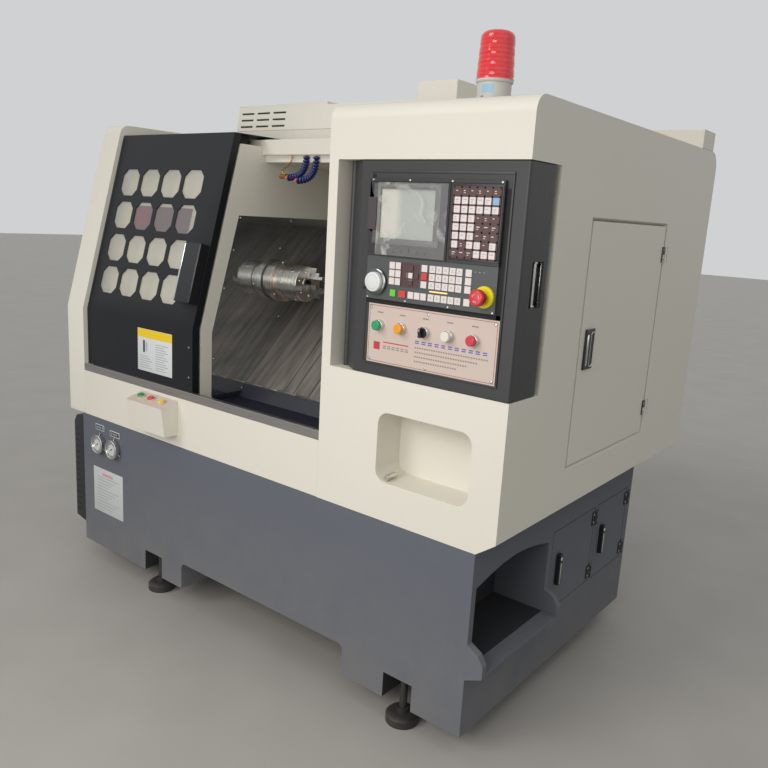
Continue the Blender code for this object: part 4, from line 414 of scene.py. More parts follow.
def see_through(tree, shader, source, output, clear):
    """Lets light of a colour through a finish, as the output of a node says."""
    gap = node(tree, "BsdfTransparent", Color=clear)
    blend = node(tree, "MixShader")
    wire(tree, (source, output, blend, "Fac"), (gap, 0, blend, 1), (shader, 0, blend, 2),
         (blend, 0, tree.nodes["Material Output"], "Surface"))


door_paint = painted("door_navy_paint", (24, 26, 31), gloss=0.42, tone=0.14, depth=0.05,
                     Specular_IOR_Level=0.30)
softened("sliding_door", "door_shell", door_paint, 0.0014, "door")
pane_look, tree, shader = blank_material("acrylic_pane", Base_Color=tint(240, 238, 232),
                                         Roughness=0.06, Coat_Weight=0.5)
haze = placed(tree, "TexNoise", Scale=7.0)
haze_range = node(tree, "MapRange", To_Min=0.26, To_Max=0.40)
wire(tree, (haze, "Fac", haze_range, "Value"))
see_through(tree, shader, haze_range, "Result", tint(246, 245, 238))
softened("door_window", "door_acrylic_sheet", pane_look, 0.0004, "door")

rubber = painted("black_rubber", (22, 22, 24), gloss=0.62, tone=0.2, peel=400.0, depth=0.2)
door_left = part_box("sliding_door")[0].x
seal_left, seal_right = door_left + 0.0005, door_left + 0.010
front_y, fold_z, slope = -0.6722, 1.076, 0.261
door_face = aligned((0.0, front_y, fold_z), rightward, (0, slope, 1))
lean = (1 + slope * slope) ** 0.5
bm = bmesh.new()
block(bm, (seal_left, front_y + 0.004, 0.832), (seal_right, front_y - 0.0012, fold_z), 0.0008)
block(bm, (seal_left, 0.0, -0.004), (seal_right, 0.705, 0.0012), 0.0008, 0, door_face)
settle(bm, "door_edge_seal", [rubber], "door")
screws("door_screws", [(-0.272, front_y, z) for z in (0.900, 1.010, 0.846)], forward, 0.0042,
       "door")


# Door handle: a black moulded pull, open toward the windows, with a bright strip along the
# edge that the fingers reach round; two caps close its ends.
def prism(bm, outline, place, low, high, bevel=0.0):
    """A flat outline raised between two heights of its own placement."""
    earlier = set(bm.faces)
    verts = [bm.verts.new(place @ Vector((a, b, low))) for a, b in outline]
    raised = bmesh.ops.extrude_face_region(bm, geom=[bm.faces.new(verts)])["geom"]
    moved = [part for part in raised if isinstance(part, bmesh.types.BMVert)]
    bmesh.ops.translate(bm, vec=place.to_3x3() @ Vector((0.0, 0.0, high - low)), verts=moved)
    if bevel:
        rounded(bm, [edge for edge in raised if isinstance(edge, bmesh.types.BMEdge)], bevel)
    tagged(bm, earlier, 0)


handle_black = painted("handle_black_gloss", (22, 24, 28), gloss=0.40, tone=0.1, depth=0.03,
                       Coat_Weight=0.15)
chrome = grained("polished_chrome", ((214, 214, 212),), (0.10, 0.20), 90.0)
handle_low, handle_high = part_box("door_handle")
pull_left, pull_right, pull_out = handle_low.x + 0.022, handle_high.x - 0.0005, 0.0400
pull_bottom, pull_top = 0.088 * lean, 0.292 * lean
recess, shelf = pull_left + 0.058, pull_out - 0.005
bm = bmesh.new()
prism(bm, [(pull_left, 0.0005), (pull_right, 0.0005), (pull_right, pull_out - 0.003),
           (pull_right - 0.003, pull_out), (pull_left, pull_out), (pull_left, shelf),
           (recess, shelf), (recess, 0.006), (pull_left, 0.006)],
      aligned(door_face.translation, rightward, (0, -1, slope)), -pull_top, -pull_bottom, 0.0015)
settle(bm, "door_pull", [handle_black], "door", stands_for=("door_handle",))
bm = bmesh.new()
block(bm, (pull_left - 0.0035, pull_bottom + 0.002 * lean, 0.0310),
      (pull_left + 0.0045, pull_top - 0.002 * lean, 0.0412), 0.0014, 0, door_face)
cap = 0.003 * lean
for start in (0.0855 * lean, 0.2915 * lean):
    block(bm, (pull_left + 0.008, start, 0.0020), (pull_right - 0.001, start + cap, 0.0392),
          0.0006, 1, door_face)
settle(bm, "door_pull_strip", [chrome, rubber], "door")


# Printed sheet on the door: white film with a yellow band over two columns of pale grey lines
# and a small dark figure, all left as plain fields without writing.
def bars(bm, face, rise, look, rows, base=0.0, bevel=0.0):
    """Thin bars on a face that looks forward, by (left, bottom, width, height)."""
    for left, bottom, width, height in rows:
        block(bm, (left, face - rise, bottom), (left + width, face - base, bottom + height),
              bevel, look)


def smooth(name, colour, gloss, tone=0.05, depth=0.0):
    """A finish of one colour without orange peel, such as print, foil or a key cap."""
    return painted(name, colour, gloss=gloss, tone=tone, depth=depth)


label_white = smooth("label_white_film", (216, 219, 221), 0.35, 0.03)
label_yellow = smooth("label_yellow_film", (240, 205, 32), 0.35, 0.03)
label_grey = smooth("label_grey_print", (166, 172, 178), 0.4)
label_dark = smooth("label_dark_print", (60, 62, 68), 0.4)
bm = bmesh.new()
face_y = front_y - 0.0003
left, bottom, wide, tall = -0.5817, 0.8810, 0.2130, 0.1620
top = bottom + tall
bars(bm, face_y, 0.0004, 0, [(left, bottom, wide, tall)], bevel=0.0001)
for look, rows in (
    (1, [(left + 0.001, top - 0.033, wide - 0.002, 0.032)]),
    (2, [(left + start, bottom + 0.012 + line * 0.0088,
          0.078 - 0.012 * ((line * 7 + column) % 3), 0.0028)
         for column, (start, count) in enumerate(((0.012, 6), (0.112, 12)))
         for line in range(count)]),
    (3, [(left + 0.034, bottom + 0.072, 0.012, 0.046)]),
    (2, [(left + 0.052, bottom + 0.078, 0.008, 0.034)]),
):
    bars(bm, face_y, 0.0006, look, rows, base=0.0004)
settle(bm, "door_printed_sheet", [label_white, label_yellow, label_grey, label_dark],
       "door")


# Card behind three of the door's windows: mauve grey film with a dull pink field, slipped
# between the door's sheet and the clear pane.
card_mauve = smooth("window_card_mauve", (118, 109, 111), 0.4, 0.22)
card_pink = smooth("window_card_pink", (133, 103, 108), 0.4, 0.35)
bm = bmesh.new()
block(bm, (-0.7567, 0.3190 * lean, -0.00425), (-0.3985, 0.4352, -0.00415), 0.0, 0, door_face)
block(bm, (-0.7380, 0.3560, -0.00415), (-0.6620, 0.4180, -0.00407), 0.0, 1, door_face)
settle(bm, "window_card", [card_mauve, card_pink], "door")


# Sill and work area: a brushed aluminium rail over the apron, a folded dark navy chip tray,
# and the door's running track under the roof.
brushed = grained("brushed_aluminium", ((152, 149, 149), (206, 203, 201)), 0.33, 6.0, 5.0,
                  stretch=(1.0, 60.0, 60.0))
softened("sill_rail", "sill_rail_cap", brushed, 0.0012)
softened("door_track", "door_running_track", brushed, 0.0015)
tray_paint = painted("tray_navy_paint", (28, 32, 46), gloss=0.42, tone=0.3, dust=0.15)
softened("chip_tray", "folded_chip_tray", tray_paint, 0.0008)
recolour(bpy.data.objects["apron"], tray_paint, lambda c: c.y > -0.672 and c.z > 0.70)
screws("rail_screws", [(x, -0.6822, 0.8509) for x in (-0.920, -0.905, -0.885)], upward, 0.0036)


# Splash sheet: thin polished black steel on the wall behind the chuck, held by small bright screws
# round its edge. Soft streaks along the slant of the covers are painted into its colour: a painted
# reflection of the covers.
sheet_painted_reflection = grained("polished_black_steel_painted_reflection", ((172, 177, 178), (200, 203, 202)), (0.03, 0.10),
                     5.0, 6.0, (0.35, 0.75), (1.0, 0.35, 3.0), 44.0, 0.92)
softened("splash_sheet", "polished_splash_sheet", sheet_painted_reflection, 0.0003)
face_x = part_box("splash_sheet")[1].x
screws("splash_sheet_screws", [(face_x, y + cabinet_front, z) for y, z in (
    (0.237, 1.4735), (0.207, 1.357), (0.165, 1.219), (0.118, 0.962), (0.4945, 1.471),
    (0.440, 1.365), (0.307, 1.230), (0.441, 1.098), (0.411, 0.9505), (0.257, 0.833),
    (0.566, 1.101))], rightward, 0.0042)
bm = bmesh.new()
block(bm, (face_x - 0.0014, -0.5800, 0.8006), (face_x + 0.0008, -0.2600, 0.8235), 0.0004)
settle(bm, "chip_tray_end_fold", [tray_paint])


# Way covers: oiled dark steel sheets that lie on the slanting bed and slide over each other,
# with a bright worn front edge. The trims lie between the sheets, so that all can slide.
def cover_trim(name, body, start, end, lip, edge, seam, seams, bevel):
    """A bright front edge and dark seams, each with its lower and upper face over the bed."""
    bm = bmesh.new()
    block(bm, (start + 0.001, -lip, edge[0]), (end, 0.0030, edge[1]), bevel, 0, bed)
    for line in seams:
        block(bm, (start + line, 0.002, seam[0]), (start + line + 0.004, 0.780, seam[1]),
              bevel, 1, bed)
    settle(bm, name, [brushed, seam_shadow], body)


cover_steel = grained("oiled_cover_steel", ((100, 94, 89), (150, 142, 136)), (0.34, 0.52),
                      8.0, 8.0, (0.3, 0.8), (6.0, 0.4, 1.0), -44.0, 0.35)
for source, name, width, body in (
    ("slant_bed", "slanted_bed", 0.0006, "cabinet"),
    ("mid_way_cover", "middle_way_cover", 0.0003, "mid_cover"),
    ("saddle", "saddle_and_cover", 0.0004, "carriage"),
):
    softened(source, name, cover_steel, width, body)
seam_shadow = painted("cover_seam_shadow", (24, 22, 22), gloss=0.5, tone=0.1)
bed_slant = radians(44)
bed = aligned((0.0, -0.4175, 0.852), rightward, (0, cos(bed_slant), sin(bed_slant)))
bm = bmesh.new()
for start, end in ((-0.2520, -0.1660), (-0.1410, -0.0820)):
    block(bm, (start, -0.0012, -0.010), (end, 0.0022, 0.0002), 0.0004, 0, bed)
settle(bm, "bed_front_edge", [brushed])
mid_low, mid_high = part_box("mid_way_cover")
cover_trim("middle_cover_edge", "mid_cover", mid_low.x, mid_high.x - 0.001, 0.0020,
           (0.0007, 0.00215), (0.0007, 0.00215), (0.034, 0.082, 0.130), 0.0003)
cover_trim("saddle_cover_edge", "carriage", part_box("saddle")[0].x, 0.3920, 0.0022,
           (0.00223, 0.0042), (0.0030, 0.0041), (0.060, 0.150, 0.230), 0.0004)
charcoal_paint = painted("charcoal_cast_paint", (62, 62, 66), gloss=0.45, tone=0.2, depth=0.2)
softened("cross_slide", "cross_slide_block", charcoal_paint, 0.0030, "slide")


# Spindle and chuck: ground steel darkened by oil. The turned faces carry fine rings, and the
# body has socket screws, a key socket and a polished collar.
def oiled(name, low, high):
    """Turned metal with a film of oil that thins here and there."""
    return grained(name, (low, high), (0.22, 0.40), 22.0, 5.0, (0.30, 0.75), (9.0, 1.0, 1.0))


turned_steel = oiled("turned_steel", (190, 181, 172), (246, 242, 236))
dark_hole = painted("socket_shadow", (24, 22, 22), gloss=0.6, tone=0.1)
softened("spindle_nose", "spindle_nose_ring", turned_steel, 0.0006)
softened("chuck_body", "chuck_shell", turned_steel, 0.0009, "chuck")
chuck_low, chuck_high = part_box("chuck_body")
chuck_y, chuck_z = middle_of("chuck_body").y, 1.241


def chuck_spot(x, out=Vector(), radius=0.0):
    """A spot at a place along the spindle's axis and a radius out from it."""
    return Vector((x, chuck_y, chuck_z)) + out * radius


bm = bmesh.new()
for ring, radius in ((0.0300, 0.0668), (0.0345, 0.0668), (0.0665, 0.0684), (0.0700, 0.0684)):
    spun(bm, [(0.0650, 0.0012), (radius, 0.0010), (radius, -0.0010), (0.0650, -0.0012)],
         chuck_spot(chuck_low.x + ring), rightward, 56)
socket_x = chuck_low.x + 0.110
for step in range(3):
    angle = radians(131 + 120 * step)
    out = Vector((0.0, cos(angle), sin(angle)))
    spun(bm, [(0.0, 0.0012), (0.0075, 0.0012), (0.0085, 0.0004), (0.0085, -0.002)],
         chuck_spot(socket_x, out, 0.0672), out, 20)
    hole = aligned(chuck_spot(socket_x, out, 0.0686), rightward, (0.0, -sin(angle), cos(angle)))
    block(bm, (-0.0045, -0.0045, -0.0006), (0.0045, 0.0045, 0.0003), 0.0, 1, hole)
for step in range(6):
    angle = radians(41 + 60 * step)
    out = Vector((0.0, cos(angle), sin(angle)))
    screw(bm, chuck_spot(chuck_high.x, out, 0.045), rightward, 0.0055)
    screw(bm, chuck_spot(chuck_low.x + 0.027, out, 0.0738), rightward, 0.0040)
spun(bm, [(0.0185, 0.0016), (0.0270, 0.0016), (0.0285, 0.0), (0.0285, -0.001)],
     chuck_spot(chuck_high.x), rightward, 40)
settle(bm, "chuck_fittings", [turned_steel, dark_hole], "chuck")
jaw_steel = oiled("hardened_jaw_steel", (160, 160, 158), (222, 222, 220))
for number in range(1, 4):
    softened(f"jaw_{number}", f"stepped_jaw_{number}", jaw_steel, 0.0008,
             f"chuck_jaw_{number}")
softened("tool_turret", "eight_station_turret", turned_steel, 0.0012, "turret")


# Coolant hoses: two jointed blue plastic lines made of snapped beads, with orange nozzles, and
# a brass fitting fed by a bent copper pipe. All hang from the header.
def hose_point(share, x, sway, drop, reach):
    """A point on a hose's line, by the share of its length from the header down."""
    share = min(1.0, max(0.0, share))
    turn = share * share * (3 - 2 * share)
    return Vector((x + sway * sin(pi * share * share) ** 2 - reach * turn * share,
                   -0.3435 - 0.020 * turn,
                   1.7047 - drop * sin(pi * 0.5 * share ** 0.8)))


bead_blue = smooth("hose_blue_plastic", (34, 38, 96), 0.32, 0.08)
nozzle_orange = smooth("nozzle_orange_plastic", (228, 120, 52), 0.35, 0.08)
brass_look = oiled("oiled_brass", (150, 112, 52), (206, 166, 92))
bead_profile = [(0.0, 0.0070), (0.0056, 0.0070), (0.0098, 0.0046), (0.0126, 0.0012),
                (0.0118, -0.0026), (0.0060, -0.0060), (0.0, -0.0062)]
nozzle_profile = [(0.0, 0.0085), (0.0040, 0.0085), (0.0060, 0.0030), (0.0086, 0.0010),
                  (0.0086, -0.0040), (0.0, -0.0050)]
bead_count = 14
for number, course in ((1, (-0.03865, 0.010, 0.080, 0.078)), (2, (0.00985, 0.012, 0.090, 0.080))):
    bm = bmesh.new()
    for bead in range(bead_count):
        share = (bead + 0.5) / bead_count
        along = hose_point(share + 0.02, *course) - hose_point(share - 0.02, *course)
        last = bead == bead_count - 1
        spun(bm, nozzle_profile if last else bead_profile, hose_point(share, *course), along, 20,
             int(last))
    settle(bm, f"jointed_hose_{number}", [bead_blue, nozzle_orange],
           stands_for=(f"coolant_hose_{number}",))
softened("hose_fitting", "copper_pipe_and_fitting", brass_look, 0.0003, angle=40)
bm = bmesh.new()
for x in (-0.1505, -0.1330, -0.1150):
    spun(bm, [(0.0088, 0.0030), (0.0104, 0.0022), (0.0104, -0.0022), (0.0088, -0.0030)],
         (x, -0.3495, 1.6297), rightward, 6)
settle(bm, "fitting_nuts", [brass_look])


# Console case: a folded charcoal steel box on a swing hinge, with a chamfered left front edge,
# a framed front sheet and a chrome pull in a pocket on its right side.
def rim(bm, outer, inner, face, rise, bevel, look=0):
    """A flat frame between two oblongs, each given as (left, right, bottom, top)."""
    (left, right, bottom, top), (a, b, c, d) = outer, inner
    wide = right - left
    bars(bm, face, rise, look, ((left, d, wide, top - d), (left, bottom, wide, c - bottom),
                                (left, c, a - left, d - c), (b, c, right - b, d - c)), bevel=bevel)


charcoal = painted("console_charcoal_paint", (56, 56, 58), gloss=0.44, tone=0.12, peel=500.0,
                   depth=0.12)
softened("console_shell", "console_case", charcoal, 0.0012, "console")
panel_left, panel_right, panel_bottom, panel_top = 0.5596, 0.9954, 1.1020, 1.6236
bm = bmesh.new()
rim(bm, (panel_left - 0.006, panel_right + 0.006, panel_bottom - 0.006, panel_top + 0.006),
    (panel_left, panel_right, panel_bottom, panel_top), cabinet_front, 0.0040, 0.0012)
settle(bm, "console_opening_rim", [charcoal], "console")
gap_black = painted("console_gap_shadow", (14, 14, 15), gloss=0.7, tone=0.1)
bm = bmesh.new()
bars(bm, cabinet_front, 0.0026, 0,
     ((0.9824, panel_bottom + 0.004, 0.0120, 0.484), (0.5606, 1.2690, 0.4338, 0.0120),
      (0.5606, 1.6000, 0.0114, 0.0200)), base=0.0020)
settle(bm, "console_opening_gaps", [gap_black], "console")
softened("pull_handle", "console_pull_bar", chrome, 0.0003, "console", angle=50)
pull_low, pull_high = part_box("pull_handle")
pull_y = middle_of("pull_handle").y
bm = bmesh.new()
for level in (pull_low.z + 0.003, pull_high.z - 0.003):
    block(bm, (pull_low.x - 0.006, pull_y - 0.008, level - 0.003),
          (pull_high.x, pull_y + 0.008, level + 0.003), 0.0010)
for low_x, high_x, near, far, bevel in (
    (pull_low.x - 0.0165, pull_low.x - 0.0155, -0.0285, 0.0285, 0.0003),
    (pull_low.x - 0.004, pull_high.x - 0.0004, -0.0290, -0.0270, 0.0006),
    (pull_low.x - 0.004, pull_high.x - 0.0004, 0.0270, 0.0290, 0.0006),
):
    block(bm, (low_x, pull_y + near, pull_low.z), (high_x, pull_y + far, pull_high.z), bevel)
settle(bm, "console_pull_cup", [chrome], "console")


# Control unit: a black moulded frame with a recessed display under a crumpled protective film,
# soft keys below it, a card cover at its left and a framed pad of forty-eight printed keys.
unit_black = painted("control_unit_plastic", (50, 49, 50), gloss=0.36, tone=0.10, peel=700.0,
                     depth=0.06)
unit = softened("cnc_unit", "control_unit", unit_black, 0.0005, "console")
# The display's colour runs from pale at its left to a duller grey-green at its right: a painted
# reflection on the glass.
display, tree, shader = blank_material("display_glass", Roughness=0.10, Coat_Weight=0.6)
across = placed(tree, "SeparateXYZ")
painted_reflection_range = node(tree, "MapRange", From_Min=0.600, From_Max=0.690)
painted_reflection_ramp = ramp(tree, tint(216, 212, 202), tint(176, 184, 178), 0.55, 0.80)
wire(tree, (across, "X", painted_reflection_range, "Value"), (painted_reflection_range, "Result", painted_reflection_ramp, "Fac"),
     (painted_reflection_ramp, "Color", shader, "Base Color"))
key_white = smooth("key_cap_white", (226, 216, 214), 0.42, 0.06, 0.02)
key_blue = smooth("key_cap_light_blue", (134, 182, 216), 0.42, 0.06, 0.02)
key_dark = smooth("key_cap_dark", (86, 62, 62), 0.42, 0.10, 0.02)
key_field = smooth("key_field_brown", (82, 56, 58), 0.45, 0.15, 0.02)
cover_plum = smooth("card_cover_plastic", (74, 66, 71), 0.36, 0.08, 0.02)
face_y = -0.7038
cap_rise, print_rise = 0.0035, 0.0037
recolour(unit, display, within((0.600, face_y + 0.0030, 1.449), (0.786, face_y + 0.0060, 1.583)))
pitch_x, pitch_z, columns, rows = 0.0224, 0.0218, 6, 8
pad_left, pad_low = 0.8403, 1.4180
pad_wide, pad_tall = columns * pitch_x - 0.003, rows * pitch_z - 0.003


def pad_cell(c):
    """Column and row, from the top, of the pad's key under a point, or None."""
    column = int((c.x - pad_left + 0.0015) // pitch_x)
    row = rows - 1 - int((c.z - pad_low + 0.0015) // pitch_z)
    inside = c.y < face_y - 0.0002 and 0 <= column < columns and 0 <= row < rows and c.x > 0.835
    return (column, row) if inside else None


def dark_cell(cell):
    """Says if a key of the pad is one of the dark ones."""
    column, row = cell
    return (row == 0 or (3 <= row <= 5 and column >= 3) or (row == 6 and column in (1, 4))
            or (row == 7 and column < 3))


recolour(unit, key_white, lambda c: pad_cell(c) is not None and not dark_cell(pad_cell(c)))
recolour(unit, key_dark, lambda c: pad_cell(c) is not None and dark_cell(pad_cell(c)))
recolour(unit, key_blue, lambda c: pad_cell(c) == (5, 1))
recolour(unit, cover_plum, within((0.0, -1.0, 1.44), (0.5930, face_y - 0.0004, 1.60)))
bm = bmesh.new()
bars(bm, face_y, print_rise, 0,
     [(pad_left - 0.0038 + number * pitch_x, pad_low - 0.003, 0.0046, pad_tall + 0.006)
      for number in range(columns + 1)])
bars(bm, face_y, print_rise, 0,
     [(pad_left - 0.003, pad_low - 0.0038 + number * pitch_z, pad_wide + 0.006, 0.0046)
      for number in range(rows + 1)])
rim(bm, *((pad_left - gap, pad_left + pad_wide + gap, pad_low - gap, pad_low + pad_tall + gap)
          for gap in (0.0085, 0.0032)), face_y, 0.0018, 0.0006, 1)
for column in range(columns):
    for row in range(rows):
        x = pad_left + column * pitch_x + 0.0042
        z = pad_low + (rows - 1 - row) * pitch_z
        marks = [(x, z + 0.0105, 0.0050 + 0.0024 * ((column * 3 + row * 5) % 3), 0.0020),
                 (x, z + 0.0055, 0.0060, 0.0015)]
        bars(bm, face_y, print_rise, 3 if dark_cell((column, row)) else 2,
             marks[:1 + (column + row) % 2], base=cap_rise)
settle(bm, "key_pad_frame", [key_field, unit_black, label_grey, key_white],
       "console")
bezel = smooth("display_bezel_grey", (94, 95, 94), 0.30, 0.10, 0.02)
bm = bmesh.new()
rim(bm, (0.5760, 0.7970, 1.4350, 1.5950), (0.5992, 0.7796, 1.4508, 1.5812), face_y, 0.0012, 0.0005)
bars(bm, face_y, 0.0030, 1, [(0.5990, 1.5842, 0.1810, 0.0020)], base=0.0010, bevel=0.0006)
settle(bm, "display_bezel", [bezel, unit_black], "console")
bm = bmesh.new()
bars(bm, face_y, 0.0016, 0, [(0.8248, 1.4040, 0.0014, 0.2040)], bevel=0.0004)
bars(bm, face_y, 0.0014, 0, [(0.5625, 1.6000, 0.4175, 0.0010)], bevel=0.0003)
for x in (0.5710, 0.6950, 0.8290, 0.9740):
    screw(bm, (x, face_y, 1.6045), forward, 0.0034, 1)
settle(bm, "control_unit_seams", [gap_black, chrome], "console")

film_look, tree, shader = blank_material("protective_film", Base_Color=tint(222, 222, 220),
                                         Roughness=0.12)
crumple = placed(tree, "TexNoise", Scale=13.0, Detail=4.0, Distortion=1.2)
milky = ramp(tree, (0.10, 0.10, 0.10, 1.0), (0.46, 0.46, 0.46, 1.0), 0.54, 0.70)
creases = node(tree, "Bump", Strength=0.22, Distance=0.002)
wire(tree, (crumple, "Fac", milky, "Fac"), (crumple, "Fac", creases, "Height"),
     (creases, "Normal", shader, "Normal"))
see_through(tree, shader, milky, "Color", (1.0, 1.0, 1.0, 1.0))
bm = bmesh.new()
for vert in bmesh.ops.create_grid(bm, x_segments=48, y_segments=40, size=0.5)["verts"]:
    x = 0.5940 + (vert.co.x + 0.5) * 0.2290
    z = 1.4060 + (vert.co.y + 0.5) * 0.1920
    wave = 0.0004 * sin(41 * x + 67 * z) * sin(93 * x - 29 * z) + 0.0002 * sin(260 * x + 90 * z)
    vert.co = (x, face_y - 0.0074 + wave, z)
bmesh.ops.solidify(bm, geom=list(bm.faces), thickness=0.0002)
settle(bm, "display_film", [film_look], "console", crease=60)


# Operating panel: a grey-green film over a steel plate with white keys on short rounded caps, a
# dark block of arrow keys, a red key among the white ones, a green and a red key side by side at
# the lower left, a lit orange strip and a yellow disc for the stop button.
panel_green = painted("operating_panel_film", (76, 82, 82), gloss=0.40, tone=0.08, depth=0.03)
panel = softened("machine_panel", "operating_panel", panel_green, 0.0005,
                 "console")
key_red = smooth("key_cap_red", (208, 66, 62), 0.40, 0.05, 0.02)
key_green = smooth("key_cap_green", (112, 200, 52), 0.40, 0.05, 0.02)
ring_yellow = smooth("stop_ring_yellow", (240, 222, 24), 0.35, 0.04, 0.02)
plate_y = -0.7008
caps_y = plate_y - 0.0003
for look, left, right, bottom, top in (
    (key_white, -2.0, 2.0, 0.0, 2.0), (key_dark, 0.680, 0.742, 1.326, 1.385),
    (key_white, 0.7002, 0.7202, 1.3440, 1.3640), (key_red, 0.748, 0.772, 1.345, 1.3685),
    (key_green, 0.640, 0.6705, 0.0, 1.315), (key_red, 0.6710, 0.7060, 0.0, 1.315),
    (ring_yellow, 0.9150, 2.0, 0.0, 2.0),
):
    recolour(panel, look, within((left, -1.0, bottom), (right, caps_y, top)))
lit, tree, shader = blank_material("lit_orange_strip", Base_Color=tint(240, 196, 120),
                                   Emission_Color=tint(255, 206, 120), Emission_Strength=0.8)
wire(tree, (placed(tree, "TexNoise", Scale=50.0), "Fac", shader, "Roughness"))
bm = bmesh.new()
bars(bm, plate_y, 0.0003, 0, [(0.6790, 1.3240, 0.0630, 0.0660)])
bars(bm, plate_y, 0.0012, 1, [(0.7790, 1.3190, 0.0570, 0.0035)], bevel=0.0004)
bars(bm, plate_y, 0.0004, 2, [(0.8870 + 0.0130 * number, 1.3830, 0.0050, 0.0015)
                              for number in range(5)])
for column in range(5):
    for level in (1.2952, 1.3275, 1.3488, 1.3701):
        x = 0.7816 + column * 0.0211
        bars(bm, plate_y, print_rise, 2, ((x, level + 0.0065, 0.0080, 0.0015),
                                          (x + 0.0020, level + 0.0100, 0.0040, 0.0030)),
             base=cap_rise)
bars(bm, plate_y, 0.0008, 3, [(0.5615, 1.2816, 0.4185, 0.0010)], bevel=0.0003)
for x in (0.5680, 0.7000, 0.8400, 0.9740):
    screw(bm, (x, plate_y, 1.2860), forward, 0.0032, 4)
settle(bm, "operating_panel_print", [key_field, lit, label_grey, gap_black, chrome],
       "console")


# Handwheel: a knurled chrome skirt behind a lower pale dial, with a small black crank knob on
# the skirt's rim.
def turned(origin, angle):
    """Placement on a face that looks forward, with its X turned up by an angle."""
    return aligned(origin, (cos(angle), 0, sin(angle)), (-sin(angle), 0, cos(angle)))


skirt_steel = grained("dark_chrome_skirt", ((126, 126, 128),), (0.10, 0.20), 90.0)
dial = smooth("handwheel_dial", (222, 224, 224), 0.30, 0.05, 0.02)
wheel = middle_of("handwheel")
hub = Vector((wheel.x, caps_y, wheel.z))
bm = bmesh.new()
spun(bm, [(0.0, 0.0215), (0.0210, 0.0215), (0.0262, 0.0200), (0.0272, 0.0180), (0.0272, 0.0090)],
     hub, forward, 48, 1)
spun(bm, [(0.0272, 0.0100), (0.0330, 0.0098), (0.0362, 0.0082), (0.0362, 0.0010), (0.0340, 0.0),
          (0.0, 0.0)], hub, forward, 48)
ridges, dial_marks = 40, 20
for step in range(ridges):
    angle = 2 * pi * step / ridges
    spot = hub + Vector((cos(angle), 0.0, sin(angle))) * 0.0360
    block(bm, (0.0012, -0.0014, -0.0006), (0.0080, 0.0014, 0.0008), 0.0004, 0,
          aligned(spot, forward, (-sin(angle), 0, cos(angle))))
for step in range(dial_marks):
    block(bm, (0.0175, -0.0004, 0.0012), (0.0205, 0.0004, 0.0017), 0.0, 2,
          turned(hub + Vector((0.0, -0.0199, 0.0)), 2 * pi * step / dial_marks))
crank_turn = radians(215)
spun(bm, [(0.0, 0.0262), (0.0036, 0.0258), (0.0046, 0.0240), (0.0040, 0.0160), (0.0048, 0.0098),
          (0.0, 0.0096)], hub + Vector((cos(crank_turn), 0.0, sin(crank_turn))) * 0.0300,
     forward, 20, 3)
settle(bm, "pulse_handwheel", [skirt_steel, dial, label_dark, handle_black], "wheel",
       stands_for=("handwheel",))


# Stop button: a red moulded mushroom head on a grey neck that passes through the panel's yellow
# disc. Three short curved marks on its face show which way it is turned to let go.
stop_red = painted("stop_head_red", (206, 32, 40), gloss=0.28, tone=0.05, depth=0.0,
                   Coat_Weight=0.4)
neck_grey = smooth("stop_neck_grey", (120, 112, 92), 0.4, 0.1)
stop = softened("stop_button", "stop_mushroom", stop_red, 0.0004, "stop", angle=40)
stop_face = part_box("stop_button")[0].y
recolour(stop, neck_grey, lambda c: c.y > stop_face + 0.0215)
stop_middle = middle_of("stop_button")
bm = bmesh.new()
for step in range(3):
    for part in range(5):
        block(bm, (0.0085, -0.0010, -0.0004), (0.0110, 0.0012, 0.0003), 0.0, 0,
              turned((stop_middle.x, stop_face, stop_middle.z), radians(120 * step + 9 * part)))
settle(bm, "stop_turn_marks", [label_white], "stop")


# Switch plate: pale pink film on steel with a thin red border, held by six screws. Long chrome
# collars carry the lit buttons and the black selector; the print is left as plain bars.
def lens(name, colour, width, body):
    """A push button with a clear coloured face."""
    look = painted(f"{name}_lens", colour, gloss=0.24, tone=0.05, depth=0.0, Coat_Weight=0.5)
    softened(name, f"{name}_lens", look, width, body, angle=40)


pink = smooth("switch_plate_film", (207, 189, 179), 0.42, 0.04, 0.02)
plate = softened("switch_panel", "switch_plate", pink, 0.0004, "console", angle=40)
plate_low, plate_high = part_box("switch_panel")
switch_face = -0.6963
recolour(plate, chrome, lambda c: c.y < switch_face - 0.0002)
border_red = smooth("plate_border_red", (142, 62, 66), 0.45)
print_blue = smooth("plate_print_blue", (98, 102, 176), 0.45)
print_grey = smooth("plate_print_grey", (150, 134, 130), 0.45)
print_red = smooth("plate_print_red", (190, 60, 70), 0.45)
left, right = plate_low.x + 0.004, plate_high.x - 0.004
bottom, top = plate_low.z + 0.004, plate_high.z - 0.004
line, wide, tall = 0.0012, right - left, top - bottom
bm = bmesh.new()
for look, rows in (
    (0, ((left, top - line, wide, line), (left, bottom, wide, line), (left, bottom, line, tall),
         (right - line, bottom, line, tall))),
    (3, [(0.6048 + 0.0779 * number, 1.2440, 0.0200, 0.0035) for number in range(5)]),
    (2, [(0.7400 + 0.0215 * number, level, 0.0130, 0.0032)
         for number in range(11) for level in (1.1750, 1.1805)]),
    (3, [(0.7400 + 0.0078 * dash, 1.1620 - 0.0125 * row, 0.0050, 0.0040)
         for row in range(4) for dash in range(30 - 4 * row)]),
    (3, [(0.6300 + 0.0155 * number, level, 0.0105, 0.0030)
         for number in range(6) for level in (1.1455, 1.1510)]),
    (4, ((0.5960, 1.1400, 0.0220, 0.0220), (0.6300, 1.1620, 0.0880, 0.0030))),
):
    bars(bm, switch_face, 0.0003, look, rows)
for x in (left + 0.006, (left + right) / 2 - 0.006, right - 0.006):
    for z in (top - 0.006, bottom + 0.006):
        screw(bm, (x, switch_face, z), forward, 0.0046, 1)
settle(bm, "switch_plate_print", [border_red, chrome, print_blue, print_grey, print_red],
       "console")
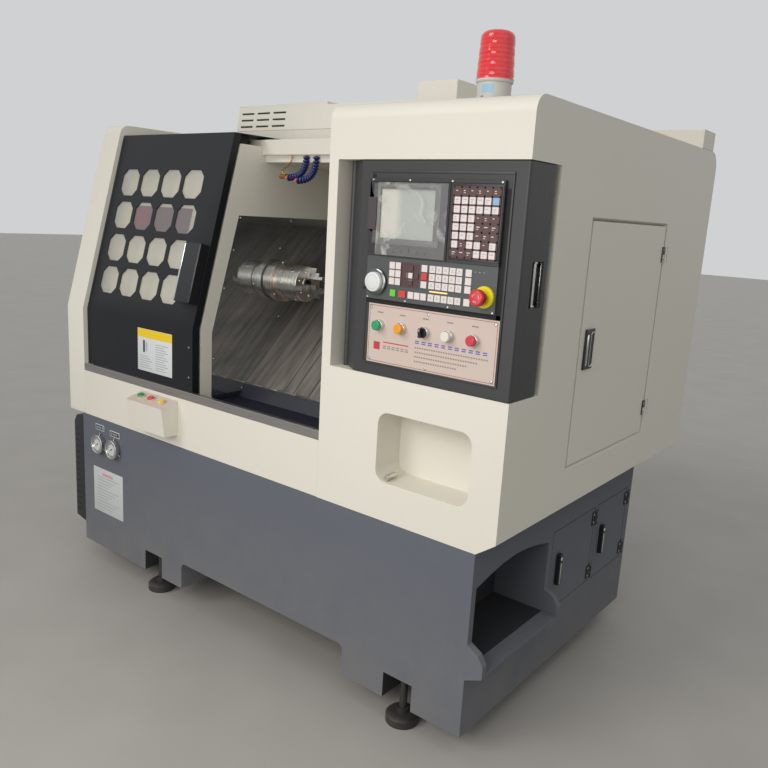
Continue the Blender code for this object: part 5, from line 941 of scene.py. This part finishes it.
for kind, colour in (("green", (36, 158, 106)), ("orange", (240, 158, 22)),
                     ("white", (228, 222, 214)), ("red", (206, 44, 66))):
    lens(f"button_{kind}", colour, 0.0006, f"push_{kind}")
softened("mode_selector", "selector_knob", handle_black, 0.0007, "selector",
         angle=40)
knob_low, knob_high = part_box("mode_selector")
bm = bmesh.new()
bars(bm, knob_low.y, 0.0004, 0, [(middle_of("mode_selector").x - 0.0008, knob_high.z - 0.010,
                                  0.0016, 0.008)], base=-0.0004)
settle(bm, "selector_mark", [label_white], "selector")


# Beacon: a ribbed dome of red translucent plastic on a pale grey moulded foot, which three screws
# hold down. A thin collar clamps the dome, and a pale blue field sits on the foot.
dome_red, tree, shader = blank_material(
    "beacon_red_lens", Roughness=0.14, Coat_Weight=0.7, Subsurface_Weight=0.35,
    Subsurface_Radius=(0.02, 0.004, 0.003), Subsurface_Scale=0.5)
ribs = placed(tree, "TexWave", wave_type="BANDS", bands_direction="Z", Scale=28.0)
reds = ramp(tree, tint(216, 34, 40), tint(236, 48, 52))
wire(tree, (ribs, "Fac", reds, "Fac"), (reds, "Color", shader, "Base Color"))
softened("beacon_dome", "beacon_lens", dome_red, 0.0005, angle=40)
foot_grey = painted("beacon_foot_grey", (196, 196, 190), gloss=0.45, tone=0.06, depth=0.1)
softened("beacon_base", "beacon_foot", foot_grey, 0.0010, angle=40)
beacon_low, beacon_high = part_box("beacon_base")
beacon = middle_of("beacon_base")


def round_beacon(radius, angle, level):
    """A spot round the beacon's upright axis."""
    return Vector((beacon.x + radius * cos(angle), beacon.y + radius * sin(angle), level))


bm = bmesh.new()
spun(bm, [(0.0462, 0.0055), (0.0500, 0.0050), (0.0505, 0.0), (0.0490, -0.0030), (0.0462, -0.0035)],
     (beacon.x, beacon.y, beacon_high.z - 0.004), upward, 48)
for step in range(3):
    angle = radians(-100 + 120 * step)
    screw(bm, round_beacon(0.0458, angle, beacon_low.z + 0.020), (cos(angle), sin(angle), 0),
          0.0035, 1)
settle(bm, "beacon_collar", [foot_grey, zinc])
bm = bmesh.new()
field_steps = 6
lower, upper = ([bm.verts.new(round_beacon(0.0463, -1.80 + 0.12 * step, beacon_low.z + rise))
                 for step in range(field_steps + 1)] for rise in (0.030, 0.050))
for step in range(field_steps):
    bm.faces.new((lower[step], lower[step + 1], upper[step + 1], upper[step]))
bmesh.ops.solidify(bm, geom=list(bm.faces), thickness=0.0002)
rating_blue = smooth("beacon_rating_blue", (150, 190, 214), 0.4, 0.2)
settle(bm, "beacon_rating_field", [rating_blue])


# Pendant box: a folded cream box under the sill, its top plate covered with a pale film, with
# three flat lit buttons, wired from behind.
pendant = softened("pendant_box", "pendant_case", cream_paint, 0.0016, angle=40)
top_film = painted("pendant_top_film", (206, 190, 178), gloss=0.38, tone=0.12, depth=0.05)
recolour(pendant, top_film, lambda c: c.z > 0.789 and -0.7600 < c.y < -0.6960)
for kind, colour in (("green", (30, 150, 96)), ("red", (214, 52, 58)), ("yellow", (236, 200, 40))):
    lens(f"pendant_button_{kind}", colour, 0.0005, f"pendant_{kind}")


# Gauges: chrome flanges with three screws round silvered dials under glass, each with a ring of
# ticks and a black needle. Small framed plates sit over them and a printed sheet below.
dial_silver = painted("gauge_dial_silver", (206, 210, 208), gloss=0.22, tone=0.03, depth=0.0,
                      Coat_Weight=0.8)
for number in (1, 2):
    gauge = softened(f"gauge_{number}", f"pressure_gauge_{number}", chrome, 0.0005,
                     angle=40)
    middle = middle_of(f"gauge_{number}")
    centre = Vector((middle.x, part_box(f"gauge_{number}")[0].y + 0.0060, middle.z))
    recolour(gauge, dial_silver, lambda c: abs(c.y - centre.y) < 0.0004
             and ((c.x - centre.x) ** 2 + (c.z - centre.z) ** 2) ** 0.5 < 0.0350)
    bm = bmesh.new()
    for tick in range(28):
        block(bm, (0.0210 if tick % 3 else 0.0190, -0.0004, -0.0004), (0.0232, 0.0004, 0.0004),
              0.0, 1, turned(centre, radians(225 - 10 * tick)))
    block(bm, (-0.0070, -0.0007, 0.0004), (0.0185, 0.0007, 0.0009), 0.0, 1,
          turned(centre, radians(215)))
    spun(bm, [(0.0240, 0.0002), (0.0256, 0.0030), (0.0300, 0.0034), (0.0344, 0.0022),
              (0.0349, 0.0)], centre, forward, 40)
    spun(bm, [(0.0, 0.0024), (0.0026, 0.0020), (0.0030, 0.0), (0.0030, -0.0004)], centre,
         forward, 16, 1)
    for step in range(3):
        angle = radians(90 + 120 * step)
        spun(bm, [(0.0, 0.0030), (0.0038, 0.0024), (0.0046, 0.0), (0.0046, -0.001)],
             (middle.x + 0.0425 * cos(angle), -0.6948, middle.z + 0.0425 * sin(angle)),
             forward, 14)
    settle(bm, f"gauge_{number}_fittings", [chrome, label_dark])
plate_silver = smooth("plate_frame_silver", (198, 200, 200), 0.35, 0.08, 0.02)
bm = bmesh.new()
for left, bottom, wide, tall in ((-0.8557, 0.5840, 0.0610, 0.0250),
                                 (-0.7537, 0.5770, 0.0680, 0.0240)):
    bars(bm, cabinet_front, 0.0012, 0, [(left, bottom, wide, tall)], bevel=0.0004)
    bars(bm, cabinet_front, 0.0015, 1,
         [(left + 0.0035, bottom + 0.0035, wide - 0.0070, tall - 0.0070)], base=0.0012)
    bars(bm, cabinet_front, 0.0017, 2,
         [(left + 0.010 + 0.0120 * field, bottom + 0.0080, 0.0070, tall - 0.0160)
          for field in range(4)], base=0.0015)
settle(bm, "gauge_plates", [plate_silver, handle_black, label_grey])
sheet_grey = smooth("document_sheet", (196, 200, 200), 0.36)
line_grey = smooth("document_lines", (160, 164, 164), 0.4)
line_pink = smooth("document_heading", (216, 150, 160), 0.4)
left, bottom, wide, tall = -0.8787, 0.2290, 0.2100, 0.1920
top = bottom + tall
bm = bmesh.new()
bars(bm, cabinet_front, 0.0006, 0, [(left, bottom, wide, tall)], bevel=0.0002)
bars(bm, cabinet_front, 0.0008, 2, [(left + 0.065, top - 0.030, 0.075, 0.012)], base=0.0006)
bars(bm, cabinet_front, 0.0008, 1,
     [(left + 0.030, top - 0.040 - row * 0.0132, 0.150 - 0.026 * ((row * 5) % 4), 0.0030)
      for row in range(11)], base=0.0006)
settle(bm, "document_sheet", [sheet_grey, line_grey, line_pink])


# Hood louvres: dark openings pressed through the front of the hood box, with dark blocks set
# inside the slots as painted shade.
louvre_shadow = painted("louvre_shadow", (34, 33, 30), gloss=0.6, tone=0.3)
hood_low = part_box("hood_box")[0]
bm = bmesh.new()
for row in range(3):
    rise = 0.014 + row * 0.0252
    level, front = hood_low.z + rise, hood_low.y + 0.014 * rise / 0.0895
    bars(bm, front, -0.0014, 0, [(hood_low.x + 0.0207 + column * 0.0905, level, 0.070, 0.006)
                                 for column in range(3)], base=-0.0060)
settle(bm, "hood_louvre_painted_shade", [louvre_shadow])


# Vent guard: a flat black cover with a chamfered top over the fan on the stand's left end. Its
# column of pairs of short slots, on the front and on the front edge, is drawn as dark bars:
# painted shade in place of openings.
guard_black = painted("vent_guard_plastic", (30, 33, 38), gloss=0.46, tone=0.2, depth=0.2)
guard_low, guard_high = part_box("vent_guard")
upright = aligned((0, 0, 0), rightward, upward)
bm = bmesh.new()
prism(bm, [(guard_high.x, guard_low.z), (guard_low.x + 0.004, guard_low.z + 0.018),
           (guard_low.x + 0.004, guard_high.z - 0.030), (guard_low.x + 0.022, guard_high.z),
           (guard_high.x, guard_high.z)], upright, -guard_high.y, -guard_low.y, 0.0012)
slot_pairs, slot_tall = 15, 0.0075
for number in range(slot_pairs):
    level = (guard_low.z + 0.045
             + (guard_high.z - guard_low.z - 0.110) * number / (slot_pairs - 1))
    for start in (0.010, 0.026):
        # Each slot is a dark bar on the face: painted shade.
        bars(bm, guard_low.y, 0.0006, 1, [(guard_low.x + start, level, 0.011, slot_tall)])
        block(bm, (guard_low.x + 0.0034, guard_low.y + 0.030 + start * 4, level),
              (guard_low.x + 0.0041, guard_low.y + 0.075 + start * 4, level + slot_tall), 0.0, 1)
settle(bm, "slotted_vent_guard", [guard_black, louvre_shadow],
       stands_for=("vent_guard",))


# Side door of the cabinet: a flush cream door in a pressed recess with a bevelled rim, on two
# black butt hinges, and closed by a black paddle latch with a chrome loop.
def butt_hinge(name, x, y, level, half, body):
    """A fixed leaf and a moving leaf about one upright pin."""
    pin, leaf_face = 0.0044, x + 0.0030
    for leaf, rider, near, far, hole, pin_top in (
        ("fixed", "cabinet", 0.0046, 0.0235, 0.0145, half),
        ("moving", body, -0.0235, -0.0046, -0.0145, -0.0003),
    ):
        bm = bmesh.new()
        block(bm, (x + 0.0002, y + near, level - half), (leaf_face, y + far, level + half), 0.0006)
        spun(bm, [(0.0, 0.0), (pin, -0.0004), (pin, 0.0006 - half), (0.0, 0.0010 - half)],
             (x + 0.0048, y, level + pin_top), upward, 18)
        for step in (-0.6, 0.6):
            screw(bm, (leaf_face, y + hole, level + half * step), rightward, 0.0038, 1)
        settle(bm, f"{name}_{leaf}_leaf", [hinge_black, zinc], rider)


softened("side_door", "cabinet_side_door", cream_paint, 0.0018, "cabinet_door")
side_x = 1.0403
recess_x = side_x - 0.0165
rim_front, rim_back, rim_bottom, rim_top = -0.3095, 0.3085, 0.8000, 1.5390
bm = bmesh.new()
for edge, width, place, low, high in (
    (rim_front, 0.0095, aligned((0, 0, 0), rightward, (0, 1, 0)), rim_bottom, rim_top),
    (rim_top, -0.0080, upright, -rim_back, -rim_front),
    (rim_bottom, 0.0080, upright, -rim_back, -rim_front),
):
    prism(bm, [(side_x, edge), (recess_x, edge), (recess_x, edge + width)], place, low, high)
settle(bm, "side_recess_rim", [cream_paint], crease=20)
hinge_black = painted("hinge_black", (36, 37, 36), gloss=0.38, tone=0.12, depth=0.05)
for level, name in ((1.435, "upper_side_hinge"), (0.8975, "lower_side_hinge")):
    butt_hinge(name, side_x, rim_back, level, 0.026, "cabinet_door")
latch_low, latch_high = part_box("side_latch")
softened("side_latch", "side_latch_paddle", handle_black, 0.0012, "cabinet_latch",
         angle=40)
bm = bmesh.new()
loop = [(0.036, 0.008), (0.048, 0.008), (0.053, 0.014), (0.053, 0.104), (0.048, 0.110),
        (0.036, 0.110), (0.031, 0.104), (0.031, 0.014)]
wire_radius = 0.0014
ring = aligned((latch_high.x, latch_low.y, latch_low.z), (0, 1, 0), upward)
for (a, b), (c, d) in zip(loop, loop[1:] + loop[:1]):
    along = Vector((0.0, c - a, d - b))
    half = along.length / 2
    spun(bm, [(0.0, half + 0.001), (wire_radius, half + 0.0006), (wire_radius, -half - 0.0006),
              (0.0, -half - 0.001)], ring @ Vector(((a + c) / 2, (b + d) / 2, 0.0008)), along, 10)
block(bm, (latch_high.x - 0.0006, latch_low.y + 0.010, latch_low.z + 0.012),
      (latch_high.x + 0.0006, latch_low.y + 0.020, latch_low.z + 0.104), 0.0004)
settle(bm, "side_latch_loop", [chrome], "cabinet_latch")


# Base doors: two flush doors of slate painted sheet in the stand's right side, each on two black
# butt hinges and closed by a slim black bar latch that is bright along one edge.
stand_side = 0.9818
for number, side, hinge_y in ((1, "front", 0.1265), (2, "rear", 0.4225)):
    softened(f"base_door_{number}", f"stand_door_{number}", slate_paint, 0.0014,
             f"{side}_base_door")
    softened(f"base_latch_{number}", f"stand_latch_{number}", handle_black, 0.0018,
             f"{side}_base_latch")
    low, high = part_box(f"base_latch_{number}")
    y = middle_of(f"base_latch_{number}").y
    bm = bmesh.new()
    block(bm, (high.x - 0.0008, y - 0.0042, low.z + 0.004),
          (high.x + 0.0010, y + 0.0030, high.z - 0.030), 0.0008)
    spun(bm, [(0.0, 0.0016), (0.0052, 0.0012), (0.0062, 0.0), (0.0062, -0.001)],
         (high.x, y, high.z - 0.016), rightward, 20)
    settle(bm, f"stand_latch_{number}_trim", [chrome], f"{side}_base_latch")
    for level, place in ((0.510, "upper"), (0.307, "lower")):
        butt_hinge(f"{place}_stand_hinge_{number}", stand_side, hinge_y, level, 0.024,
                   f"{side}_base_door")


# Niche: a short turned steel pin with bevelled ends, which lies on the niche's floor and points
# forward, just inside its lower left corner.
bm = bmesh.new()
spun(bm, [(0.0, 0.0260), (0.0072, 0.0260), (0.0084, 0.0245), (0.0084, -0.0245),
          (0.0072, -0.0260), (0.0, -0.0260)], (0.65375, -0.6560, 0.7622), (0.10, -1, 0), 24)
settle(bm, "niche_stub", [turned_steel])
